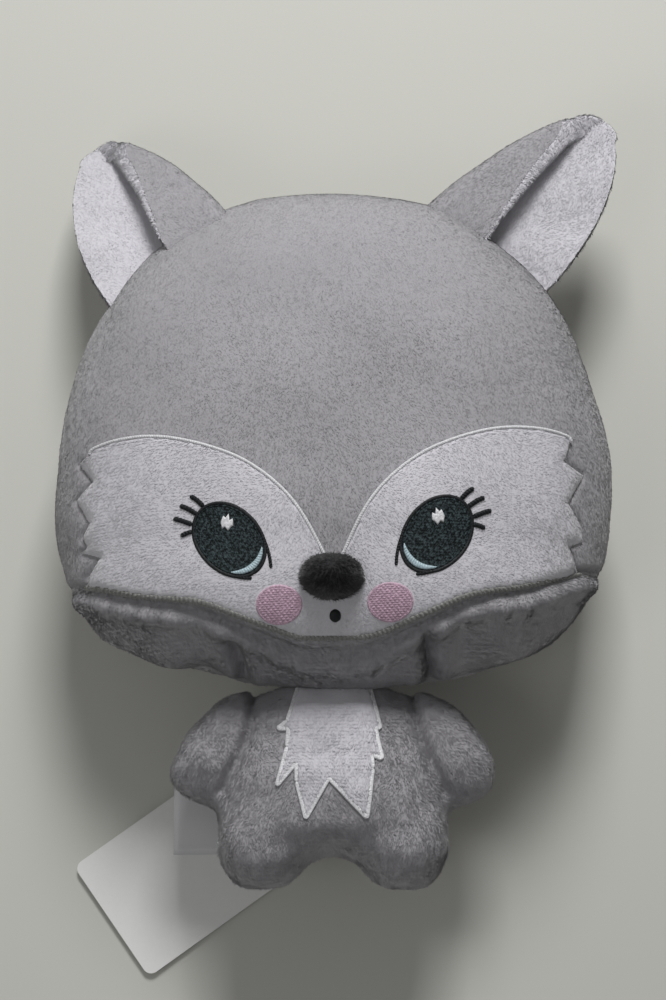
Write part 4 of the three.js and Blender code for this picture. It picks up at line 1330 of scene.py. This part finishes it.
# Ends of the outline that run on past the eye, towards the nose
TAILS = (
    ((-0.67, 0.24), (-0.75, 0.06), (-0.84, -0.2), (-0.9, -0.45), (-0.93, -0.7)),
    ((-0.05, -0.82), (-0.28, -0.88), (-0.5, -0.9)),
)
LASH_WIDTH, TAIL_WIDTH = 2.1, 1.5
CRESCENT = (math.radians(226), math.radians(318))
GLINT = ((-2.2, -1.2), (-2.0, 1.4), (-0.8, 0.8), (-0.6, 3.2), (0.6, 1.9), (1.4, 2.6), (2.4, 0.4),
         (2.0, -2.2), (0.9, -1.5), (-0.2, -3.0), (-1.2, -1.8))
GLINT_PLACE = (0.5, 6.3)


def stitch_rows(angle, pitch, height, stitch=5.0):
    """Rows of filling stitches that run along one direction, each row broken at its own places"""
    def texture(flat):
        along = flat @ np.array([math.cos(angle), math.sin(angle)])
        across = flat @ np.array([-math.sin(angle), math.cos(angle)])
        row = np.floor(across / pitch)
        strand = np.abs(np.sin(math.pi * across / pitch))
        bead = np.abs(np.sin(math.pi * (along / (stitch * pitch) + 0.41 * row)))
        return height * strand * (0.3 + 0.7 * np.minimum(1, 0.6 * stitch * bead))
    return texture


def iris(side, relief):
    yield patch(oval(side, 0.8), relief, STITCH_RISE, 0.5, 0.3, stitch_rows(side * 1.0, 0.72, 0.4, 1.6))
    yield stroke(ring_of(oval(side, 1.75)), 0.55, 0.5, relief, STITCH_RISE + 0.6, closed=True)


def eye_outline(side, relief):
    yield stroke(ring_of(oval(side, 0.75)), 1.6, 1.1, relief, STITCH_RISE, closed=True)
    for lines, width in ((LASHES, LASH_WIDTH), (TAILS, TAIL_WIDTH)):
        for line in lines:
            line = curve_through(eye_points(np.array(line) * EYE_HALF_HEIGHT, side), 0.2)
            yield stroke(line, rounded(line, width), 1.2, relief, STITCH_RISE + 0.1, 1.1, ridges=0.25)


def crescent(side, relief):
    angle = np.linspace(*CRESCENT, 60)
    inset = 1.9 + 0.9 * np.sin(np.linspace(0, math.pi, len(angle)))
    x, y = (EYE_HALF_WIDTH - inset) * np.cos(angle), (EYE_HALF_HEIGHT - inset) * np.sin(angle)
    line = even_steps(in_eye(x, y, side), 0.25)
    width = 0.4 + 2.3 * np.sin(np.linspace(0, math.pi, len(line))) ** 0.8
    yield stroke(line, width, 0.8, relief, STITCH_RISE + 0.6, pitch=0.9, ridges=0.25)


def glint(side, relief):
    outline = eye_points(np.array(GLINT) + np.array(GLINT_PLACE), side)
    yield patch(outline, relief, STITCH_RISE + 0.5, 0.7, 0.4, stitch_rows(1.4, 0.6, 0.25))


EYE_LAYERS = {
    "iris": ("charcoal_thread", iris),
    "outline": ("black_thread", eye_outline),
    "crescent": ("ice_thread", crescent),
    "glint": ("white_thread", glint),
}


class WOLF_OT_eyes(bpy.types.Operator):
    """Embroiders the eyes: charcoal fill, black outline with lashes, pale crescent and glint"""

    bl_idname = "wolf.eyes"
    bl_label = "Eyes"

    def execute(self, context):
        for name, side in SIDES.items():
            for layer, (slot, bodies) in EYE_LAYERS.items():
                node = f"eye_{name}_{layer}"
                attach(stitched(f"{node}_stitch", slot, node, *bodies(side, head_relief())), "head")
        return {"FINISHED"}


NOSE_ASIDE = 0.9            # the nose sits a little to the left of the frame's
NOSE_DOME = (1, 2, 0.5)
NOSE_PILE = 1.8


class WOLF_OT_muzzle(bpy.types.Operator):
    """Sews on the nose and embroiders the cheeks and the mouth"""

    bl_idname = "wolf.muzzle"
    bl_label = "Nose, cheeks and mouth"

    def execute(self, context):
        relief = head_relief()
        pieces = [self.cheek(name, side, relief) for name, side in SIDES.items()]
        for piece in (*pieces, self.mouth(relief), *self.nose(relief)):
            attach(piece, "head")
        return {"FINISHED"}

    @staticmethod
    def cheek(name, side, relief):
        outline = cheek_outline(side, 0.6)
        fill = patch(outline, relief, STITCH_RISE, 0.5, 0.3, stitch_rows(0.05, 0.75, 0.4, 2.2))
        edge = stroke(ring_of(outline), 1.3, 1.0, relief, STITCH_RISE, closed=True)
        return stitched(f"cheek_{name}_stitch", "pink_thread", f"cheek_{name}", fill, edge)

    @staticmethod
    def mouth(relief):
        middle = on_face([(0, -MOUTH_DROP)])[0]

        def dome(flat):
            share = np.linalg.norm(flat - middle, axis=1) / MOUTH_RADIUS
            return 1.3 * np.sqrt(np.maximum(1 - share**2, 0))

        dot = disc(0, -MOUTH_DROP, MOUTH_RADIUS, MOUTH_RADIUS, steps=24)
        dot = patch(dot, relief, STITCH_RISE, 0.4, 0.4, dome)
        return stitched("mouth_stitch", "black_thread", "mouth_dot", dot)

    @staticmethod
    def nose(relief):
        low, high = node_box("nose")
        half = (high - low) / 2
        middle = np.array([(low[0] + high[0]) / 2 - NOSE_ASIDE, (low[1] + high[1]) / 2, low[2] + 1])
        tall, height = half[1] - 0.4, high[2] - middle[2] - 0.8
        pouch = Cushion(middle[:2], half[0], (tall, 2.3), (tall, 2.0), NOSE_DOME, NOSE_DOME)
        points, faces = pouch.shell(sides=48, rings=14)
        rise = (points[:, 2] - SEAM_Z) / (1 + SEAM_GAP / 2) * height
        points[:, 2] = np.maximum(middle[2] + rise, relief.height(points[:, :2]) + 0.4)
        obj = stitched("nose_pouch", "black_plush", "nose", (points, faces))

        def radial(points):
            return (points - middle) * np.array([1, 1, 0]) + np.array([0.01, -1.0, 0])

        def where(points, normals):
            return normals[:, 2] > -0.1

        return obj, *pile("nose_pile", obj, "black_plush", 81, NOSE_PILE, radial, COATS["nose"], where)


# Ears

EAR_LENGTH, EAR_SINK, EAR_ROOT = 71.0, 6.5, 12.0
EAR_OPEN, EAR_FOLD_REACH, EAR_FLAP_WIDTH, EAR_FLAP_LENGTH = 32.2, 23.7, 21.0, 64.0
EAR_RADIUS, EAR_TIP_RADIUS = 5.2, 0.6
EAR_LEAN = {"left": 0.0, "right": 12.0}
EAR_BACK = 45.0             # degrees from level to the ear's hindmost place
EAR_RIM = 7.0               # white rim of the flap at the tip
EAR_SEAM_START, EAR_SEAM_TURN = 0.7, 120.0
EAR_INSET = 1.2             # the grey layer's open edge inside the lining's
EAR_LAYERS = {"outer": (-LAYER, -0.1, "grey_plush"), "lining": (0.1, LAYER, "white_plush")}
EAR_ROWS, EAR_COLUMNS = 30, 30
EAR_TOE = 0.92              # share of the ear's length where its tip starts to close
TOE_TURNS = np.radians((18, 36, 54, 70, 82))
EDGE = 1.0                  # last strip of cloth at an edge
ROLL = np.array([0.03, 0.1, 0.22, 0.36, 0.5, 0.64, 0.78, 0.91, 1.0])
ROLL_LEVEL = np.array([0.6, 1.0, 1.0, 1.0, 1.0, 1.0, 0.97, 0.8, 0.4])
TIP_LEVEL = np.array([0.6, 1.0, 0.95, 0.8, 0.55, 0.2, -0.2, -0.6, -0.85])
PILED, BARE, RIM = 0, 1, 2  # material numbers of an ear's faces


def ear_section(share, offset, rolled=None):
    """The cloth across the ear at a share of its length, from its open edge round the fold to the flap's.

    The grey layer stops at the seam. The lining goes on past it to the flap's edge, at the level rolled.
    Near the tip the seam leaves the flap and goes round the fold to the back, so the tip is white.
    """
    reach = min(max(share, 0.0), 0.985)
    radius = EAR_RADIUS + (EAR_TIP_RADIUS - EAR_RADIUS) * reach**2
    opened = EAR_OPEN * (1 - reach**1.9) ** 0.6 - (EAR_INSET if rolled is None else 0)
    turn_x = radius - EAR_FOLD_REACH * (1 - reach**1.4) ** 0.52
    base = max(opened - turn_x, LAYER)
    curl = math.pi * radius
    flap = EAR_FLAP_WIDTH * (1 - reach * EAR_LENGTH / EAR_FLAP_LENGTH)
    seam = base + curl + flap - EAR_SEAM_TURN * max(reach - EAR_SEAM_START, 0) ** 2
    rim = EDGE
    if rolled is None:
        rolled = offset
    else:
        rim += base + curl + max(flap, LAYER) + EAR_RIM * reach**1.1 - seam
    run = np.concatenate([-EDGE * ROLL[::-1], np.linspace(0, seam, EAR_COLUMNS), seam + rim * ROLL])
    near_tip = np.clip((reach - 0.7) / 0.2, 0, 1)
    near_tip *= near_tip * (3 - 2 * near_tip)
    edge = offset + (rolled - offset) * (ROLL_LEVEL + (TIP_LEVEL - ROLL_LEVEL) * near_tip)
    bend = radius - np.concatenate([edge[::-1], np.full(EAR_COLUMNS, offset), edge])
    angle = np.clip((run - base) / radius, 0, math.pi)
    x = turn_x + np.maximum(base - run, 0) - bend * np.sin(angle) + np.maximum(run - base - curl, 0)
    return np.stack([x, radius - bend * np.cos(angle)], axis=1)


def ear_grid(offset, rolled, side, lean):
    """One face of a layer in the ear's own frame: x along the head's edge, y outwards, z up"""
    shares = EAR_TOE * np.sin(np.linspace(0, math.pi / 2, EAR_ROWS))
    shares = (-EAR_ROOT / EAR_LENGTH, *shares)
    sections = [(share, ear_section(share, offset, rolled)) for share in shares]
    last = ear_section(EAR_TOE, 0, 0)
    middle = (last.min(axis=0) + last.max(axis=0)) / 2
    for turn in TOE_TURNS:
        share = EAR_TOE + (1 - EAR_TOE) * math.sin(turn)
        sections.append((share, middle + (sections[EAR_ROWS][1] - middle) * math.cos(turn)))
    grid = []
    for share, section in sections:
        along = share * EAR_LENGTH
        x = side * (section[:, 0] + math.tan(math.radians(lean)) * along)
        grid.append(np.column_stack([x, np.full(len(section), along - EAR_SINK), section[:, 1]]))
    return np.array(grid)


def ear_layer(low, high, side, lean):
    """Points, faces and material numbers of one closed layer of an ear"""
    lining = high > 0
    lower = ear_grid(low, -LAYER if lining else None, side, lean)
    upper = ear_grid(high, high if lining else None, side, lean)
    points, faces = closed_sheet(lower, upper)
    rows, columns = np.array(lower.shape[:2]) - 1
    column = np.arange(columns)
    plain = (column >= len(ROLL)) & (column < len(ROLL) + EAR_COLUMNS - 1)
    below = np.where(plain, BARE, RIM) if lining else np.full(columns, PILED)
    above = np.full(columns, PILED) if lining else np.where(plain, BARE, PILED)
    cells = np.tile(np.stack([below, above], axis=1).ravel(), rows)
    tags = np.concatenate([cells, np.full(2 * rows, PILED), np.tile((BARE, PILED), columns)])
    return points, [face[::side] for face in faces], tags


def turned(axes, axis, angle):
    """Axes turned about one of them"""
    cos, sin = math.cos(angle), math.sin(angle)
    return np.array([v * cos + np.cross(axis, v) * sin + axis * (axis @ v) * (1 - cos) for v in axes])


class WOLF_OT_ears(bpy.types.Operator):
    """Sews on the ears: a grey layer and a white lining, folded over on the crown's side"""

    bl_idname = "wolf.ears"
    bl_label = "Ears"

    def execute(self, context):
        short = context.scene.wolf_pile.short / MM
        for name, side in SIDES.items():
            joint = joint_named(f"ear_{name}_flop")
            pivot, axis = pivot_of(joint["name"]), np.array(joint["axis"])
            drop = math.radians(joint["range_deg"][0] + EAR_BACK)
            axes = turned(np.array([axis, np.cross(UP, axis), UP]), axis, -drop)
            for order, (layer, (low, high, slot)) in enumerate(EAR_LAYERS.items()):
                points, faces, tags = ear_layer(low, high, side, EAR_LEAN[name])
                points[:, 2] += 0.5 * waves(points, 26, 90)
                node = f"ear_{name}_{layer}"
                points = points @ axes + pivot
                cloth = new_object(f"{node}_cloth", points, faces, [finish_named(slot)] * 3, tags)
                change(cloth, "SUBSURF", levels=1)
                sewn(cloth, slot, node)
                coat = pile(f"{node}_pile", cloth, slot, 91 + 2 * order + (side > 0), short * 1.15,
                            -axes[1], COATS["ear"])
                if layer == "lining":
                    coat += pile(f"ear_{name}_rim_pile", cloth, slot, 97 + (side > 0), short * 1.6,
                                 side * axes[0] - 0.4 * axes[1], COATS["rim"], tag=RIM)
                self.cut(cloth, coat)
                bend((cloth, *coat), "head", f"ear_{name}", pivot, axes[1], EAR_BEND)
        return {"FINISHED"}

    @staticmethod
    def cut(cloth, coat):
        """Works out a layer's flat width, the way round the fold at the ear's base, and keeps nothing"""
        width = run_along(ear_section(0, 0, 0))[-1] * MM


# Bib, label and card

BIB = ((-12.9, -74), (-16.6, -87.6), (-20.3, -90.2), (-16, -90.6), (-16.6, -97.4), (-20.2, -111.7),
       (-13.1, -103.4), (-13.1, -110.4), (-9.8, -123.8), (-1.5, -109.3), (12.3, -123.4), (14.5, -105.5),
       (14.1, -100.4), (17.9, -102.1), (15.2, -90), (17.2, -90.6), (13.6, -74))
BIB_RISE, BIB_THICK, BIB_MESH, BIB_PILE = 0.3, 1.0, 1.2, 1.3
LABEL_ROWS, LABEL_COLUMNS = 30, 16
LABEL_THICK, LABEL_FALL, LABEL_RIPPLE = 0.3, 4.0, 0.6


class WOLF_OT_bib(bpy.types.Operator):
    """Lays the white bib on the chest and edges it with satin stitch"""

    bl_idname = "wolf.bib"
    bl_label = "Bib"

    def execute(self, context):
        relief = relief_of("torso_cover", (-45, -150), (45, -70))
        corners = np.array(BIB)
        outline = even_steps(np.concatenate([corners, corners[:1]]), 1.0)[:-1]
        cloth = patch(outline, relief, BIB_RISE, BIB_THICK, BIB_MESH)
        cloth = stitched("bib_applique", "white_plush", "bib", cloth)
        pieces = pile("bib_pile", cloth, "white_plush", 101, BIB_PILE, (0.1, -1, 0), COATS["bib"], faces_up,
                      0.8)
        satin = []
        for ends in zip(corners[:-1], corners[1:]):
            line = even_steps(np.array(ends), 0.3)
            satin.append(stroke(line, rounded(line, 1.8), 0.35, relief, 0.9, pitch=0.9, ridges=0.3))
        pieces.append(stitched("bib_satin", "white_thread", "bib_stitch", *satin))
        bend_with((cloth, *pieces), "torso")
        laid_flat(cloth, outline)
        return {"FINISHED"}


class WOLF_OT_label(bpy.types.Operator):
    """Hangs the plain care label under the body and finishes the card and its fastener"""

    bl_idname = "wolf.label"
    bl_label = "Label and card"

    def execute(self, context):
        low, high = node_box("care_label")
        reach, width = high[0] - low[0], high[1] - low[1]
        share, across = np.meshgrid(*(np.linspace(0, 1, count) for count in (LABEL_ROWS, LABEL_COLUMNS)),
                                    indexing="ij")
        ripple = LABEL_RIPPLE * np.sin(3 * math.pi * across + 2 * share) * share**2
        z = high[2] - LABEL_THICK - LABEL_FALL * share**1.4 + ripple
        top = np.stack([high[0] - reach * share, high[1] - width * across, z], axis=-1)
        sheet = closed_sheet(top - LABEL_THICK * UP, top)
        label = stitched("care_label_tape", "label_satin", "care_label", sheet)
        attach(label, "torso")
        for node, slot in (("swing_tag", "tag_card"), ("tag_fastener", "fastener_nylon")):
            obj = frame["nodes"][node]
            obj.data.materials.clear()
            obj.data.materials.append(finish_named(slot))
        return {"FINISHED"}


# Stage

FLOOR_HALF = 2000.0
TARGET = Vector((0, 1, 50)) * MM
KEY_PLACE, KEY_SIZE = (0.08, 0.9, 1.0), 0.45
FILL_PLACE, FILL_SIZE = (-0.5, -0.45, 0.9), 0.4


def aimed(name, data, place):
    """A lamp or camera that looks at the toy"""
    obj = linked(name, data)
    obj.location = place
    obj.rotation_euler = (TARGET - Vector(place)).to_track_quat("-Z", "Y").to_euler()
    return obj


class WOLF_OT_stage(bpy.types.Operator):
    """Lays the floor, hangs the lamps and sets the camera"""

    bl_idname = "wolf.stage"
    bl_label = "Stage"

    def execute(self, context):
        scene = context.scene
        settings = scene.wolf_stage
        corners = np.array([(-1, -1, 0), (1, -1, 0), (1, 1, 0), (-1, 1, 0)]) * FLOOR_HALF
        floor = new_object("floor", corners, [(0, 1, 2, 3)], [finish_named("floor")])
        floor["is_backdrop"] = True
        self.lamp("key", settings.key, KEY_PLACE, KEY_SIZE)
        self.lamp("fill", settings.fill, FILL_PLACE, FILL_SIZE)
        back = Vector((0, -math.cos(settings.elevation), math.sin(settings.elevation)))
        scene.camera = aimed("camera", bpy.data.cameras.new("camera"), TARGET + back * settings.distance)
        scene.camera.data.lens = settings.lens
        scene.camera.data.sensor_width = 36
        scene.camera.data.clip_start = 0.01
        scene.world = bpy.data.worlds.new("sky")
        scene.world.use_nodes = True
        sky = scene.world.node_tree.nodes["Background"].inputs
        sky["Color"].default_value = (1, 1, 1, 1)
        sky["Strength"].default_value = settings.sky
        scene.view_settings.view_transform = "Standard"
        return {"FINISHED"}

    @staticmethod
    def lamp(name, power, place, size):
        light = bpy.data.lights.new(name, "AREA")
        light.energy = power
        light.size = size
        aimed(name, light, place)


STEPS = (
    WOLF_OT_stage,
    WOLF_OT_head,
    WOLF_OT_body,
    WOLF_OT_face,
    WOLF_OT_eyes,
    WOLF_OT_muzzle,
    WOLF_OT_ears,
    WOLF_OT_bib,
    WOLF_OT_label,
)
GROUPS = {
    "wolf_colours": WolfColours,
    "wolf_pile": WolfPile,
    "wolf_stuffing": WolfStuffing,
    "wolf_stage": WolfStage,
}


class WOLF_PT_sidebar(bpy.types.Panel):
    """Lists the wolf's settings and pieces"""

    bl_label = "Plush wolf"
    bl_idname = "WOLF_PT_sidebar"
    bl_space_type = "VIEW_3D"
    bl_region_type = "UI"
    bl_category = "Wolf"

    def draw(self, context):
        for name, group in GROUPS.items():
            box = self.layout.box()
            box.label(text=group.__doc__)
            for key in group.__annotations__:
                box.prop(getattr(context.scene, name), key)
        for step in STEPS:
            self.layout.operator(step.bl_idname)


def register():
    for group in GROUPS.values():
        bpy.utils.register_class(group)
    for step in (*STEPS, WOLF_PT_sidebar):
        bpy.utils.register_class(step)
    for name, group in GROUPS.items():
        setattr(bpy.types.Scene, name, bpy.props.PointerProperty(type=group))


def unregister():
    for name in GROUPS:
        delattr(bpy.types.Scene, name)
    for step in (WOLF_PT_sidebar, *reversed(STEPS)):
        bpy.utils.unregister_class(step)
    for group in reversed(GROUPS.values()):
        bpy.utils.unregister_class(group)


def plain(box):
    return [[float(value) for value in corner] for corner in box]


def main():
    register()
    for step in STEPS:
        getattr(bpy.ops.wolf, step.bl_idname.split(".")[1])()
    {"cad": plain(CAD_BOX), "visual": plain(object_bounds())}


if __name__ == "__main__":
    main()
